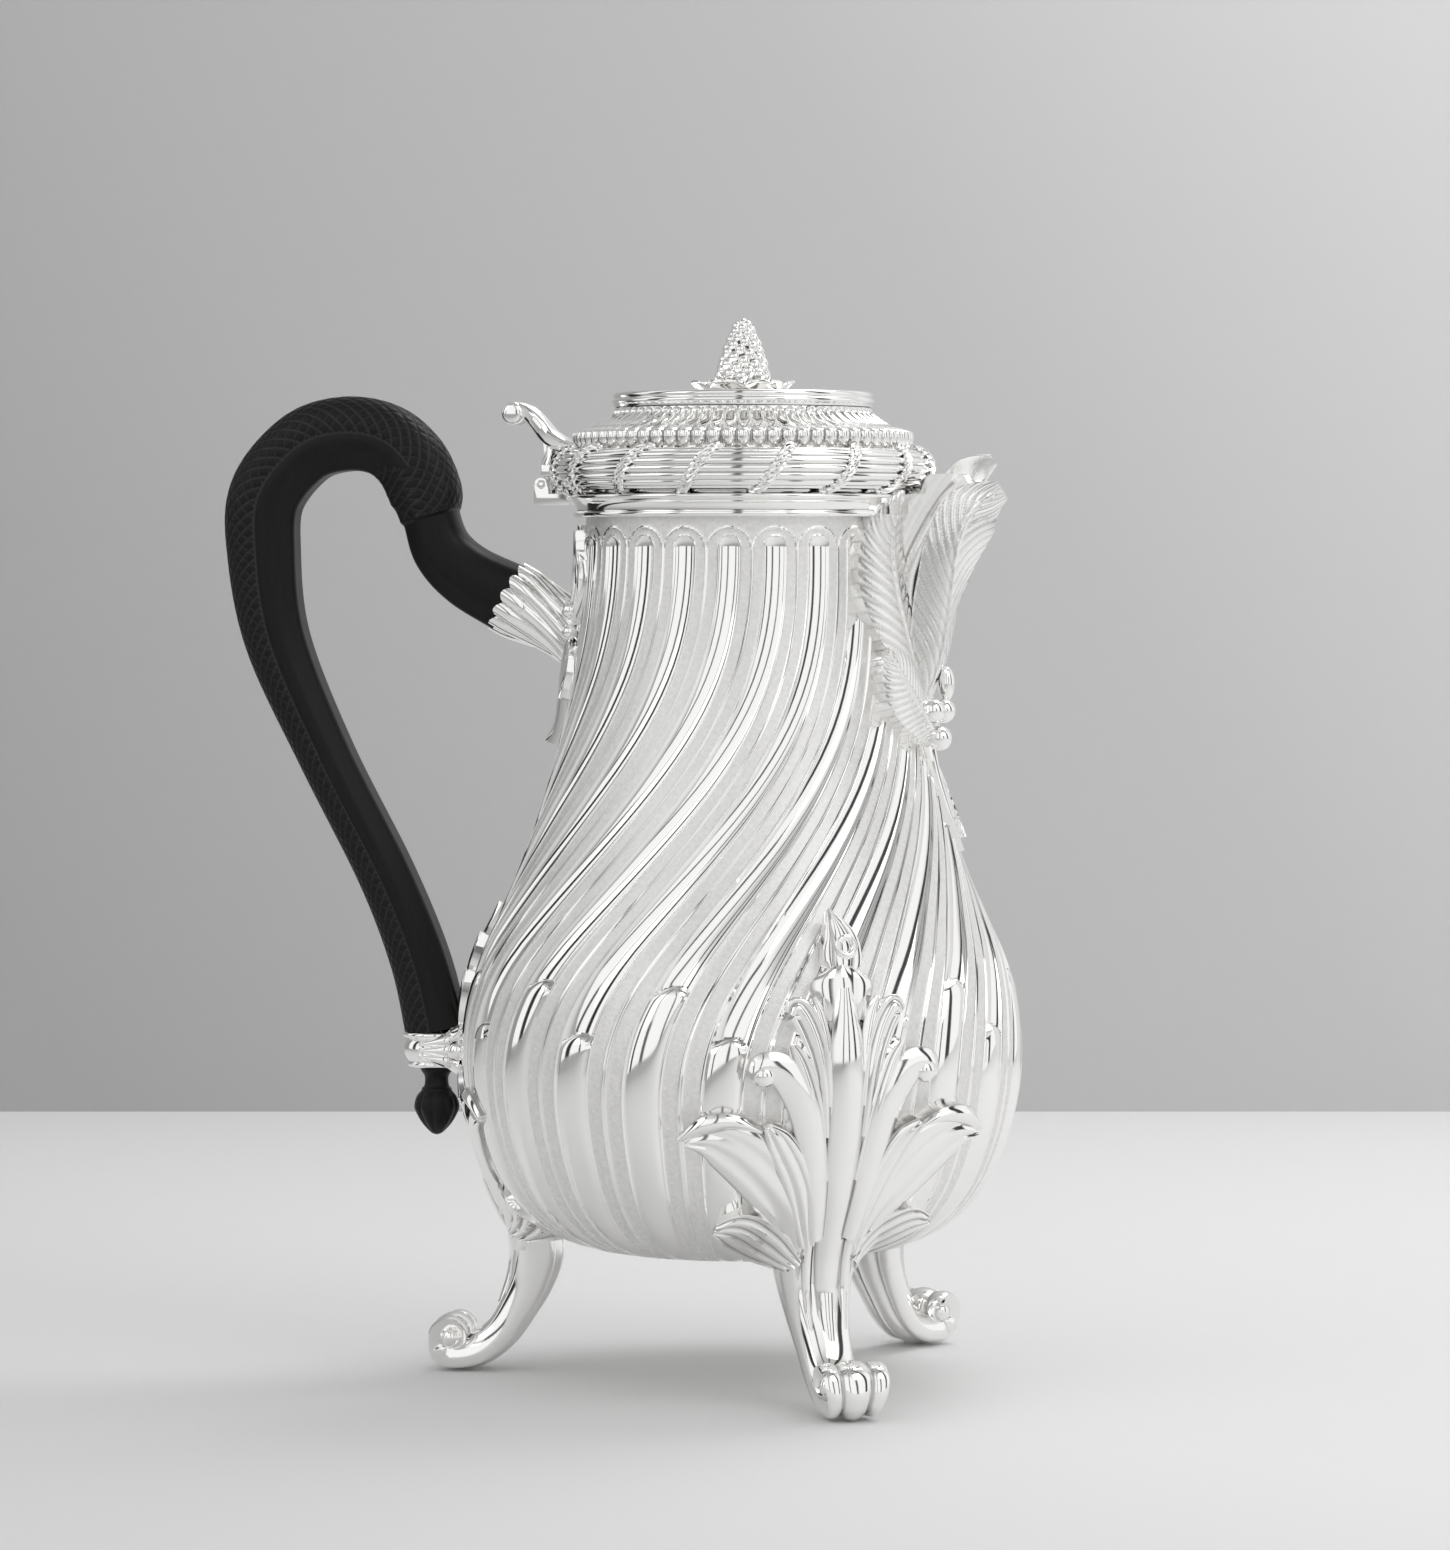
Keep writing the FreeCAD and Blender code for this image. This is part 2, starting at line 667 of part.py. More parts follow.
def lip_section(share, inset):
    """The lip's plan at a share of its height, drawn in by inset."""
    height = mix(spout_low, spout_top, share)
    front = form_radius(height) + mix(2 * value("spout_wall"), value("spout_reach"), share ** 1.6) - inset
    half = mix(3 * value("spout_wall"), value("spout_half_width"), share ** 0.8) - inset
    back = LIP_BACK * neck
    tip = Vector(front, 0, height)
    left = Vector(back, half, height)
    right = Vector(back, -half, height)
    swell = mix(back, front, LIP_SWELL)
    return Part.Wire([
        Part.LineSegment(left, right).toShape(),
        Part.Arc(right, Vector(swell, -LIP_FULLNESS * half, height), tip).toShape(),
        Part.Arc(tip, Vector(swell, LIP_FULLNESS * half, height), left).toShape(),
    ])


lip_stations = (0.0, 0.25, 0.5, 0.75, 1.0)
lip_outside = Part.makeLoft([lip_section(share, 0.0) for share in lip_stations], True)
hollow_stations = (0.12, 0.3, 0.5, 0.75, 1.0, 1.03)
lip_hollow = Part.makeLoft([lip_section(share, value("spout_wall")) for share in hollow_stations], True)
feature("spout_lip", lip_outside.cut(lip_hollow).cut(pot_room))

leaf = value("leaf_thickness")
leaf_layer = pot_layer(leaf)
for side, name in ((-1, "right"), (1, "left")):
    spine = [Vector(neck + out, side * across, mouth + up) for out, across, up in (
        (7, 3.5, -59), (7, 7, -42), (9, 10, -24), (14.5, 12, -10), (22, 13, -4), (29.5, 13.5, -7.5))]
    widths = [share * value("lip_leaf_width") for share in (0.3, 0.8, 1.0, 0.85, 0.6, 0.15)]
    curve = Part.BSplineCurve()
    curve.interpolate(spine)
    outward = Vector(0.7, side * 0.7, 0.1)
    wires = []
    for point, width in zip(spine, widths):
        along = Vector(*curve.tangent(curve.parameter(point))[0])
        across = along.cross(outward).normalize() * width / 2
        through = across.cross(along).normalize() * leaf / 2
        corners = [point + across + through, point - across + through,
                   point - across - through, point + across - through]
        wires.append(Part.makePolygon(corners + corners[:1]))
    blade = Part.makeLoft(wires, True)
    feature("spout_lip_leaf_" + name, blade.cut(lip_outside).cut(pot_room))
    toward = -side
    side_leaf = [(-8, -57), (0, -58), (9, -52), (10, -30), (6, -18), (1, -8), (-5, -10), (-10, -30), (-9, -45)]
    outline = [(across * toward, mouth + up) for across, up in side_leaf]
    low_leaf = [(-7, -75), (4, -71), (11, -74), (8, -62), (-2, -60), (-9, -64)]
    low_outline = [(across * toward, mouth + up) for across, up in low_leaf]
    if toward < 0:
        outline.reverse()
        low_outline.reverse()
    side_plate = leaf_plate(outline, side * 27, leaf_layer, mirrored=False)
    feature("spout_side_leaf_" + name, side_plate.cut(lip_outside).cut(blade))
    low_plate = leaf_plate(low_outline, side * 20, leaf_layer, mirrored=False)
    feature("spout_low_leaf_" + name, low_plate.cut(lip_outside))

berry = value("berry_radius")
berries = []
for across, up in ((-0.95, -64), (0.95, -63), (0.0, -70)):
    height = mouth + up
    place = Vector(form_radius(height) + 0.45 * berry, across * berry, height)
    berries.append(Part.makeSphere(berry, place))
cluster = berries[0].fuse(berries[1]).fuse(berries[2])
feature("spout_berries", cluster.cut(pot_room).cut(lip_outside))
stem = [(0, -102), (2.2, -92), (3.6, -84), (1.5, -76), (0, -75.5)]
feature("spout_stem", leaf_plate([(across, mouth + up) for across, up in stem], 0, leaf_layer))

# Upper handle socket: a flared cup on a leaf mount, sloping down to the neck

socket_z = mouth - value("upper_socket_drop")
slope = math.radians(value("upper_socket_slope"))
socket_in = Vector(math.cos(slope), 0, -math.sin(slope))
socket_mouth = Vector(-(form_radius(socket_z) + value("upper_socket_reach")), 0, socket_z)
mount_skin = value("mount_thickness")
mount_form = solid_form(mount_skin, mouth)
mount_layer = pot_layer(mount_skin)
socket_radius = value("upper_socket_radius")
socket_length = value("upper_socket_reach") / math.cos(slope) + socket_radius


def ring_at(share, radius):
    centre = socket_mouth + socket_in * share * socket_length
    return Part.Wire(Part.makeCircle(radius, centre, socket_in))


socket_body = Part.makeLoft([
    ring_at(0.0, socket_radius), ring_at(0.12, socket_radius * 0.96), ring_at(0.4, socket_radius * 0.84),
    ring_at(0.68, socket_radius * 1.02), ring_at(1.0, socket_radius * 1.5)], True)
tenon = value("tenon_radius")
fit = value("tenon_clearance")
depth = value("upper_socket_depth")
socket_bore = Part.makeCylinder(tenon + fit, depth + fit, socket_mouth, socket_in)
upper_pin_at = socket_mouth + socket_in * depth / 2
pin_radius = value("handle_pin_radius")
pin_hole = pin_radius + value("handle_pin_clearance")


def cross_rod(radius, at, half):
    return Part.makeCylinder(radius, 2 * half, at - Vector(0, half, 0), Vector(0, 1, 0))


upper_hole = cross_rod(pin_hole, upper_pin_at, 2 * socket_radius)
feature("upper_handle_socket", socket_body.cut(mount_form).cut(socket_bore).cut(upper_hole))
feature("upper_handle_pin", cross_rod(pin_radius, upper_pin_at, socket_radius))
upper_mount = [(0, -42), (7, -34), (13, -22), (16.5, -6), (11, 4), (13, 12), (5, 17), (0, 19.5)]
feature("upper_handle_mount",
        leaf_plate([(across, socket_z + up) for across, up in upper_mount], 180, mount_layer))

# Lower handle ferrule: a round cup let into a leaf mount on the belly

ferrule_top = value("ferrule_top")
ferrule_low = ferrule_top - value("ferrule_height")
ferrule_r = value("ferrule_radius")
ferrule_x = -(form_radius(mix(ferrule_low, ferrule_top, 0.5)) + mount_skin + ferrule_r - value("ferrule_seat"))
cup = Part.makeCylinder(ferrule_r, ferrule_top - ferrule_low, Vector(ferrule_x, 0, ferrule_low))
arm = Part.makeBox(2 * ferrule_r, ferrule_r, 0.7 * (ferrule_top - ferrule_low),
                   Vector(ferrule_x, -ferrule_r / 2, mix(ferrule_low, ferrule_top, 0.15)))
floor_z = ferrule_low + value("ferrule_floor")
cup_bore = Part.makeCylinder(tenon + fit, ferrule_top - floor_z, Vector(ferrule_x, 0, floor_z))
spigot = value("spigot_radius")
spigot_hole = Part.makeCylinder(spigot + fit, 3 * ferrule_r, Vector(ferrule_x, 0, ferrule_low - ferrule_r))
lower_pin_at = Vector(ferrule_x, 0, floor_z + value("spigot_length") + pin_hole + fit)
lower_hole = cross_rod(pin_hole, lower_pin_at, 2 * ferrule_r)
ferrule = cup.fuse(arm).cut(cup_bore).cut(spigot_hole).cut(lower_hole).cut(mount_form)
feature("lower_handle_ferrule", ferrule)
feature("lower_handle_pin", cross_rod(pin_radius, lower_pin_at, ferrule_r))
lower_mount = [(0, -25), (10, -19), (15, -8), (11, 1), (13, 13), (8, 25), (3, 33), (0, 40)]
lower_middle = mix(ferrule_low, ferrule_top, 0.5)
feature("lower_handle_mount",
        leaf_plate([(across, lower_middle + up) for across, up in lower_mount], 180, mount_layer))

# Handle: an arm out of the upper socket, a loop over the top and a long limb down to the ferrule

loop = socket_mouth + Vector(-value("handle_loop_reach"), 0, value("handle_loop_rise"))
loop_radius = value("handle_loop_radius")


def on_loop(angle, share=1.0):
    turn = math.radians(angle)
    return loop + Vector(math.cos(turn), 0, math.sin(turn)) * loop_radius * share


foot_of_handle = Vector(ferrule_x, 0, ferrule_top)
back = on_loop(193)
limb_height = back.z - foot_of_handle.z
limb = [back, back - Vector(0.006, 0, 0.32) * limb_height,
        foot_of_handle + Vector(-0.06, 0, 0.385) * limb_height, foot_of_handle]
slim = value("handle_thickness")
stout = value("handle_top_thickness")
ended = value("handle_end_thickness")
arm_start = socket_mouth - socket_in * 2 * fit
arm_middle = mix(socket_mouth, on_loop(0, 0.9), 0.48) + Vector(0, 0, -0.09 * loop_radius)
stations = [
    (arm_start, 2 * (socket_radius - 2 * fit)), (arm_middle, value("handle_arm_thickness")),
    (on_loop(-4, 0.9), 1.07 * slim), (on_loop(25, 0.88), mix(slim, stout, 0.6)),
    (on_loop(62), mix(slim, stout, 0.8)), (on_loop(92), stout), (on_loop(122), stout),
    (on_loop(158), stout), (back, mix(slim, stout, 0.9)),
    (bezier(limb, 0.2), mix(slim, stout, 0.4)), (bezier(limb, 0.45), slim), (bezier(limb, 0.7), slim),
    (bezier(limb, 0.87), mix(slim, ended, 0.5)), (foot_of_handle, ended),
]
middles = [point for point, thickness in stations]
ways = [following - last for last, following in zip(middles, middles[2:])]
ways = [socket_in * -1] + ways + [Vector(0, 0, -1)]
handle_sections = [
    section_wire(point, way.normalize(), thickness, value("handle_width"), value("handle_corner"))
    for (point, thickness), way in zip(stations, ways)]
grip = Part.makeLoft(handle_sections, True)
upper_tenon = Part.makeCylinder(tenon, depth + 3 * fit, socket_mouth - socket_in * 3 * fit, socket_in)
lower_tenon = Part.makeCylinder(tenon, ferrule_top - floor_z, Vector(ferrule_x, 0, floor_z + fit))
spigot_bore = Part.makeCylinder(spigot + fit, value("spigot_length") + fit, Vector(ferrule_x, 0, floor_z))
wood = grip.fuse(upper_tenon).fuse(lower_tenon)
feature("handle", wood.cut(spigot_bore).cut(upper_hole).cut(lower_hole))

# Turned wooden drop whose spigot is glued up into the foot of the handle

SPIGOT = "(ferrule_floor + spigot_length)"
drop = turned("handle_drop", [
    ("0", "0"),
    ("drop_radius", "drop_length * 0.42"),
    ("drop_neck", "drop_length * 0.84"),
    ("drop_collar", "drop_length * 0.95"),
    ("drop_collar", "drop_length"),
    ("spigot_radius", "drop_length"),
    ("spigot_radius", "drop_length + " + SPIGOT),
    ("0", "drop_length + " + SPIGOT),
], {
    0: ("drop_length * 0.7", 1),
    1: ("drop_length * 0.6", 1),
})
drop.Placement.Base = Vector(ferrule_x, 0, 0)
drop.setExpression("Placement.Base.z", bound("ferrule_top - ferrule_height - drop_length"))

# Three feet, one under the handle: a leg that runs out to a rolled toe, soldered to a leaf that
# lies on the belly. The leaf under the handle stops below the ferrule's mount.

foot_skin = value("foot_leaf_thickness")
foot_form = solid_form(foot_skin, mouth)
foot_layer = pot_layer(foot_skin)
base_z = value("base_height")
hip = value("foot_hip")
reach = value("foot_reach")
toe_r = value("toe_radius")
sole = 0.5 * value("leg_ankle_thickness")
leg_line = [
    Vector(hip, 0, base_z + value("leg_root")), Vector(hip + value("leg_bow"), 0, 0.35 * base_z),
    Vector(reach - value("ankle_length"), 0, 0.72 * sole), Vector(reach - value("toe_overlap"), 0, 0.92 * sole)]
leg_sections = []
for share in (0.0, 0.2, 0.4, 0.6, 0.8, 1.0):
    slender = min(1.0, share / 0.6)
    thickness = mix(value("leg_thickness"), value("leg_ankle_thickness"), slender)
    width = mix(value("leg_width"), value("leg_ankle_width"), slender)
    leg_sections.append(section_wire(bezier(leg_line, share), bezier_along(leg_line, share),
                                     thickness, width, 0.3 * thickness))
leg = Part.makeLoft(leg_sections, True)
toe = cross_rod(toe_r, Vector(reach, 0, value("toe_height")), value("toe_width") / 2)
below = Part.makeBox(4 * reach, 4 * reach, base_z, Vector(-2 * reach, -2 * reach, -base_z))
foot_blank = leg.fuse(toe).cut(below).cut(foot_form)

full_leaf = [(0, 2.6), (9, 3.6), (25, 14), (14, 23), (39, 40), (19, 47), (22.5, 58), (11, 64),
             (13, 72), (4, 76), (5, 82), (0, 97)]
short_leaf = full_leaf[:5] + [(17, 32), (0, 18)]
for turn, name in ((0, "left"), (1, "handle"), (2, "right")):
    azimuth = value("first_foot_angle") + 120 * turn
    outline = short_leaf if name == "handle" else full_leaf
    feature("foot_leaf_" + name,
            leaf_plate([(across, base_z + up) for across, up in outline], azimuth, foot_layer))
    feature("foot_leg_" + name, foot_blank, azimuth)

doc.recompute()

NODES = [
    "body_shell", "rim_moulding", "hinge_body_leaf", "hinge_pin",
    "spout_lip", "spout_lip_leaf_left", "spout_lip_leaf_right", "spout_side_leaf_left",
    "spout_side_leaf_right", "spout_low_leaf_left", "spout_low_leaf_right", "spout_berries", "spout_stem",
    "upper_handle_mount", "upper_handle_socket", "upper_handle_pin", "lower_handle_mount",
    "lower_handle_ferrule", "lower_handle_pin", "handle", "handle_drop",
    "foot_leaf_left", "foot_leaf_right", "foot_leaf_handle", "foot_leg_left", "foot_leg_right",
    "foot_leg_handle",
    "lid_dome", "lid_bezel", "lid_reeded_band", "lid_top_ring", "finial_rosette", "finial_berry_cone",
    "finial_stud", "finial_nut", "hinge_lid_leaf", "thumb_piece",
]
for obj in doc.Objects:
    if "Invalid" in obj.State or "Error" in obj.State:
        raise RuntimeError("%s failed: %s" % (obj.Label, obj.State))
os.makedirs("parts", exist_ok=True)
for label in NODES:
    part = doc.getObjectsByLabel(label)[0]
    if part.Shape.isNull() or not part.Shape.isValid() or len(part.Shape.Solids) != 1:
        raise RuntimeError("%s has no single valid solid" % label)
for label in NODES:
    part = doc.getObjectsByLabel(label)[0]
    part.Shape.exportStep("parts/%s.step" % label)
    print("%-24s %9.0f cubic mm" % (label, part.Shape.Volume))
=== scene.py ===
import math

import bmesh
import bpy
import numpy as np
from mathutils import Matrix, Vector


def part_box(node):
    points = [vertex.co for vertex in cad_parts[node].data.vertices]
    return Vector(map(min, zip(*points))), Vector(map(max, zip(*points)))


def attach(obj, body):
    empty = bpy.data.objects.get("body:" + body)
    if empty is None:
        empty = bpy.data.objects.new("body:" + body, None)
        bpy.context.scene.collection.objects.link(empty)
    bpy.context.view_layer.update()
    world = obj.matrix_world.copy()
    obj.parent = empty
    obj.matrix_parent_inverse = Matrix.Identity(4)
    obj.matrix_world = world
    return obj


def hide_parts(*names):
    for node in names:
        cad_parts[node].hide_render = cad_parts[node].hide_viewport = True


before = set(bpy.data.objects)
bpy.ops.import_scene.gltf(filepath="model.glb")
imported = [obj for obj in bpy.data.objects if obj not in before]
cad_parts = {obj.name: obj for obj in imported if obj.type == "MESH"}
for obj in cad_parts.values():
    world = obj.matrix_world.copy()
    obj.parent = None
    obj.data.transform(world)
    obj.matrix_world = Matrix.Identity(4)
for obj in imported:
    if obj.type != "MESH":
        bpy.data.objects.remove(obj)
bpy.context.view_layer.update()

# Pot body: one pear-shaped shell of polished silver, raised from sheet. Flutes chased into it
# twist from arched tops at the neck down to the base, with matted ground between them. The lower
# part of each flute is filled by a round cable, high and low by turns.
MM = 0.001
body_low, body_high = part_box("body_shell")
base_height = body_low.z / MM
mouth_height = body_high.z / MM
belly_radius = body_high.y / MM
neck_radius = 43.6
neck_length = 9.0
belly_height = 92.0
belly_curve = 76.0
base_curve = 40.0
flare_height = mouth_height - neck_length
flare_rise = flare_height - belly_height
flare_spread = belly_radius - neck_radius
flare_curve = (flare_spread ** 2 + flare_rise ** 2) / (2 * flare_spread) - belly_curve
belly_middle = belly_radius - belly_curve
base_middle_z = base_height + base_curve
base_middle = belly_middle + math.sqrt((belly_curve - base_curve) ** 2 - (base_middle_z - belly_height) ** 2)
waist_z = belly_height + belly_curve * flare_rise / (flare_curve + belly_curve)
turn_z = base_middle_z + base_curve * (base_middle_z - belly_height) / (belly_curve - base_curve)


def pot_radius(z):
    """The pot's outer radius at a height, without the relief."""
    z = np.asarray(z, float)
    flare = neck_radius + flare_curve - np.sqrt(flare_curve ** 2 - np.clip(flare_height - z, 0, None) ** 2)
    belly = belly_middle + np.sqrt(np.clip(belly_curve ** 2 - (z - belly_height) ** 2, 0, None))
    base = base_middle + np.sqrt(np.clip(base_curve ** 2 - (z - base_middle_z) ** 2, 0, None))
    return np.where(z >= waist_z, flare, np.where(z >= turn_z, belly, base))


def pot_normal(z):
    """The outward direction of the pot's side at a height, as its radial and upward parts."""
    step = 0.05
    slope = (pot_radius(z + step) - pot_radius(z - step)) / (2 * step)
    length = np.sqrt(1 + slope ** 2)
    return 1 / length, -slope / length


def ring_part(grid, matte=0.0, painted_shade=0.0, closed=True):
    """Rows of rings as a mesh part, with two marks on each point: its matte finish and its painted shade."""
    grid = np.asarray(grid, float)
    marks = [np.broadcast_to(np.asarray(mark, float), grid.shape[:2]) for mark in (matte, painted_shade)]
    if closed:
        ends = [row.mean(0, keepdims=True).repeat(grid.shape[1], 0)[None] for row in (grid[0], grid[-1])]
        grid = np.concatenate([ends[0], grid, ends[1]])
        marks = [np.pad(mark, ((1, 1), (0, 0)), mode="edge") for mark in marks]
    index = np.arange(grid.shape[0] * grid.shape[1]).reshape(grid.shape[:2])
    beside = np.roll(index, -1, 1)
    quads = np.stack([index[:-1], beside[:-1], beside[1:], index[1:]], -1).reshape(-1, 4)
    return grid.reshape(-1, 3), quads, marks[0].ravel(), marks[1].ravel()


merge_gap = 0.003


def new_object(name, data):
    """An object at the origin, linked to the scene."""
    obj = bpy.data.objects.new(name, data)
    bpy.context.scene.collection.objects.link(obj)
    return obj


def finished(name, mesh, shape, material, crease):
    """The edited shape of a mesh as a smooth object with one material."""
    shape.to_mesh(mesh)
    shape.free()
    mesh.shade_smooth()
    mesh.set_sharp_from_angle(angle=math.radians(crease))
    mesh.materials.clear()
    mesh.materials.append(material)
    return new_object(name, mesh)


def piece(name, parts, material, crease=40.0):
    """One smooth object made of mesh parts in millimetres, with seams and poles merged."""
    starts = np.cumsum([0] + [len(part[0]) for part in parts])
    points = np.concatenate([part[0] for part in parts]) * MM
    quads = np.concatenate([part[1] + start for part, start in zip(parts, starts)])
    mesh = bpy.data.meshes.new(name)
    mesh.from_pydata(points.tolist(), [], quads.tolist())
    for label, slot in (("matte", 2), ("painted_shade", 3)):
        marks = np.concatenate([part[slot] for part in parts]).astype(np.float32)
        mesh.attributes.new(label, "FLOAT", "POINT").data.foreach_set("value", marks)
    shape = bmesh.new()
    shape.from_mesh(mesh)
    bmesh.ops.remove_doubles(shape, verts=shape.verts, dist=merge_gap * MM)
    bmesh.ops.recalc_face_normals(shape, faces=shape.faces)
    return finished(name, mesh, shape, material, crease)


def fix(obj, body, finish, *nodes):
    """The object moves with a body and stands for its CAD nodes. Its finish is not used."""
    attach(obj, body)
    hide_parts(*nodes)


def add_node(tree, kind, **settings):
    """A new node of a tree, with its plain settings."""
    node = tree.nodes.new(kind)
    for key, setting in settings.items():
        setattr(node, key, setting)
    return node


def feed(tree, node, sources):
    """Gives a node's inputs their sources: outputs of other nodes or plain values."""
    for label, source in sources.items():
        if isinstance(source, bpy.types.NodeSocket):
            tree.links.new(source, node.inputs[label])
        else:
            node.inputs[label].default_value = source


def ranged(tree, source, low, high, start=0.0, end=1.0, **settings):
    """A value between start and end, taken to between low and high."""
    node = add_node(tree, "ShaderNodeMapRange", **settings)
    feed(tree, node, {"Value": source, "From Min": start, "From Max": end, "To Min": low, "To Max": high})
    return node.outputs["Result"]


def mixed(tree, kind, share, first, second):
    """Two colours or two values mixed by a share."""
    node = add_node(tree, "ShaderNodeMix", data_type=kind)
    used = [index for index, socket in enumerate(node.inputs) if socket.enabled]
    feed(tree, node, dict(zip(used, (share, first, second))))
    return [socket for socket in node.outputs if socket.enabled][0]


def new_material(name):
    """A material, its node tree and its shader."""
    material = bpy.data.materials.new(name)
    material.use_nodes = True
    return material, material.node_tree, material.node_tree.nodes["Principled BSDF"]


polish_tones = (0.955, 0.950, 0.935, 1), (0.985, 0.982, 0.972, 1)
ground_tones = (0.76, 0.755, 0.74, 1), (0.99, 0.985, 0.97, 1)
# Painted shade: a dark tone laid into sunk places, such as grooves, veins, seams and the edges of cables.
painted_shade_tone = (0.16, 0.15, 0.135, 1)
polish_rough, ground_rough, hollow_rough = (0.05, 0.13), (0.42, 0.62), 0.55
smear_scale, smear_detail = 45.0, 4.0
grain_scale, grain_detail = 900.0, 2.0
stipple_scale, stipple_strength, stipple_depth = 1500.0, 0.5, 0.12


def silver_surface_group():
    """Colour, roughness and height of hand-finished silver: polish, matted ground and painted shade in the
    hollows.
    """
    group = bpy.data.node_groups.new("silver_surface", "ShaderNodeTree")
    for label in ("Matte", "Painted_shade"):
        group.interface.new_socket(label, in_out="INPUT", socket_type="NodeSocketFloat")
    for label, kind in (("Color", "Color"), ("Roughness", "Float"), ("Height", "Float")):
        group.interface.new_socket(label, in_out="OUTPUT", socket_type="NodeSocket" + kind)
    given = add_node(group, "NodeGroupInput").outputs
    result = add_node(group, "NodeGroupOutput")
    place = add_node(group, "ShaderNodeTexCoord").outputs["Object"]
    smear = add_node(group, "ShaderNodeTexNoise")
    feed(group, smear, {"Vector": place, "Scale": smear_scale, "Detail": smear_detail})
    grain = add_node(group, "ShaderNodeTexNoise")
    feed(group, grain, {"Vector": place, "Scale": grain_scale, "Detail": grain_detail})
    stipple = add_node(group, "ShaderNodeTexVoronoi")
    feed(group, stipple, {"Vector": place, "Scale": stipple_scale})
    polish = mixed(group, "RGBA", smear.outputs["Fac"], *polish_tones)
    ground = mixed(group, "RGBA", grain.outputs["Fac"], *ground_tones)
    faced = mixed(group, "RGBA", given["Matte"], polish, ground)
    bright = ranged(group, smear.outputs["Fac"], *polish_rough)
    dull = ranged(group, grain.outputs["Fac"], *ground_rough)
    rough = mixed(group, "FLOAT", given["Matte"], bright, dull)
    pits = ranged(group, stipple.outputs["Distance"], 0.0, 1.0)
    # Where a point carries painted shade, its colour and roughness go over to the painted shade tone.
    feed(group, result, {"Color": mixed(group, "RGBA", given["Painted_shade"], faced, painted_shade_tone),
                         "Roughness": mixed(group, "FLOAT", given["Painted_shade"], rough, hollow_rough),
                         "Height": mixed(group, "FLOAT", given["Matte"], 0.0, pits)})
    return group


def silver_material():
    """Silver that takes its finish, and the painted shade of its hollows, from the marks of each point."""
    material, tree, shader = new_material("polished_silver")
    surface = add_node(tree, "ShaderNodeGroup", node_tree=silver_surface_group())
    for label in ("matte", "painted_shade"):
        mark = add_node(tree, "ShaderNodeAttribute", attribute_name=label)
        feed(tree, surface, {label.capitalize(): mark.outputs["Fac"]})
    bump = add_node(tree, "ShaderNodeBump")
    feed(tree, bump, {"Strength": stipple_strength, "Distance": stipple_depth * MM,
                      "Height": surface.outputs["Height"]})
    feed(tree, shader, {"Metallic": 1.0, "Base Color": surface.outputs["Color"],
                        "Roughness": surface.outputs["Roughness"], "Normal": bump.outputs["Normal"]})
    return material


silver = silver_material()

flute_count = 22
flute_pitch = 360.0 / flute_count
first_flute = -68.75
flute_twist = 65.0
twist_top, twist_length = 235.0, 160.0
flute_half = 0.225
arch_top, outer_arch_top = 234.4, 237.0
channel_depth, rim_width, rim_rise = 0.33, 0.19, 0.42
cable_tops = (101.5, 115.0)
cable_share, cable_rise, cable_sink = 0.96, 0.30, 0.25
cable_line, cable_shade = 0.06, 0.35
ridge_place, ridge_half, ridge_rise = 0.485, 0.03, 0.38
half_steps = [0, .05, .1, .145, .19, .222, .234, .248, .262, .275, .31, .36, .41, .455, .47, .485]
across_flute = np.array([-0.5] + [-step for step in reversed(half_steps)] + half_steps[1:])
flute_of = np.repeat(np.arange(flute_count), len(across_flute))
share_of = np.tile(across_flute, flute_count)


def twisted(z):
    """How far round, in degrees, the flutes have turned at a height."""
    share = np.clip((twist_top - np.asarray(z, float)) / twist_length, 0, 1)
    return -flute_twist * share ** 3 * (share * (6 * share - 15) + 10)


def flute_relief(z, radius):
    """Height of the chased relief over the sheet, where the ground is matted, and the painted shade lines
    beside the cables.
    """
    pitch = 2 * math.pi * radius / flute_count
    x = share_of * pitch
    half = flute_half * pitch

    def from_middle(end_z):
        """Distance from a flute's middle line, which ends at a height."""
        return np.where(z > end_z, np.hypot(x, np.maximum(z - end_z, 0)), np.abs(x))

    arch_z = arch_top - flute_half * 2 * math.pi * neck_radius / flute_count
    from_flute = from_middle(arch_z) / half
    channel = -channel_depth * half * np.clip(1 - from_flute ** 2, 0, 1) ** 0.75
    top = np.asarray(cable_tops)[(flute_of + 1) % 2]
    rod = cable_share * half
    from_rod = from_middle(top - rod) / rod
    round_top = cable_rise * half * np.sqrt(np.clip(1 - from_rod ** 2, 0, 1)) - cable_sink
    height = np.maximum(channel, np.where(from_rod < 1, round_top, -half))
    height = height + rim_rise * np.sin(math.pi * np.clip((from_flute - 1) / rim_width, 0, 1))
    from_ridge = from_middle(outer_arch_top - pitch / 2) / pitch
    ridge = np.clip(1 - np.abs(from_ridge - ridge_place) / ridge_half, 0, 1)
    height = height + ridge_rise * ridge ** 0.7
    matte = np.where((from_flute > 1 + rim_width) & (ridge <= 0.05), 1.0, 0.0)
    # Painted shade along both sides of each cable.
    beside_rod = (np.abs(from_rod - 1) < cable_line) & (z < top) & (z > top - 2 * rod)
    return height, matte, np.where(beside_rod, cable_shade, 0.0)


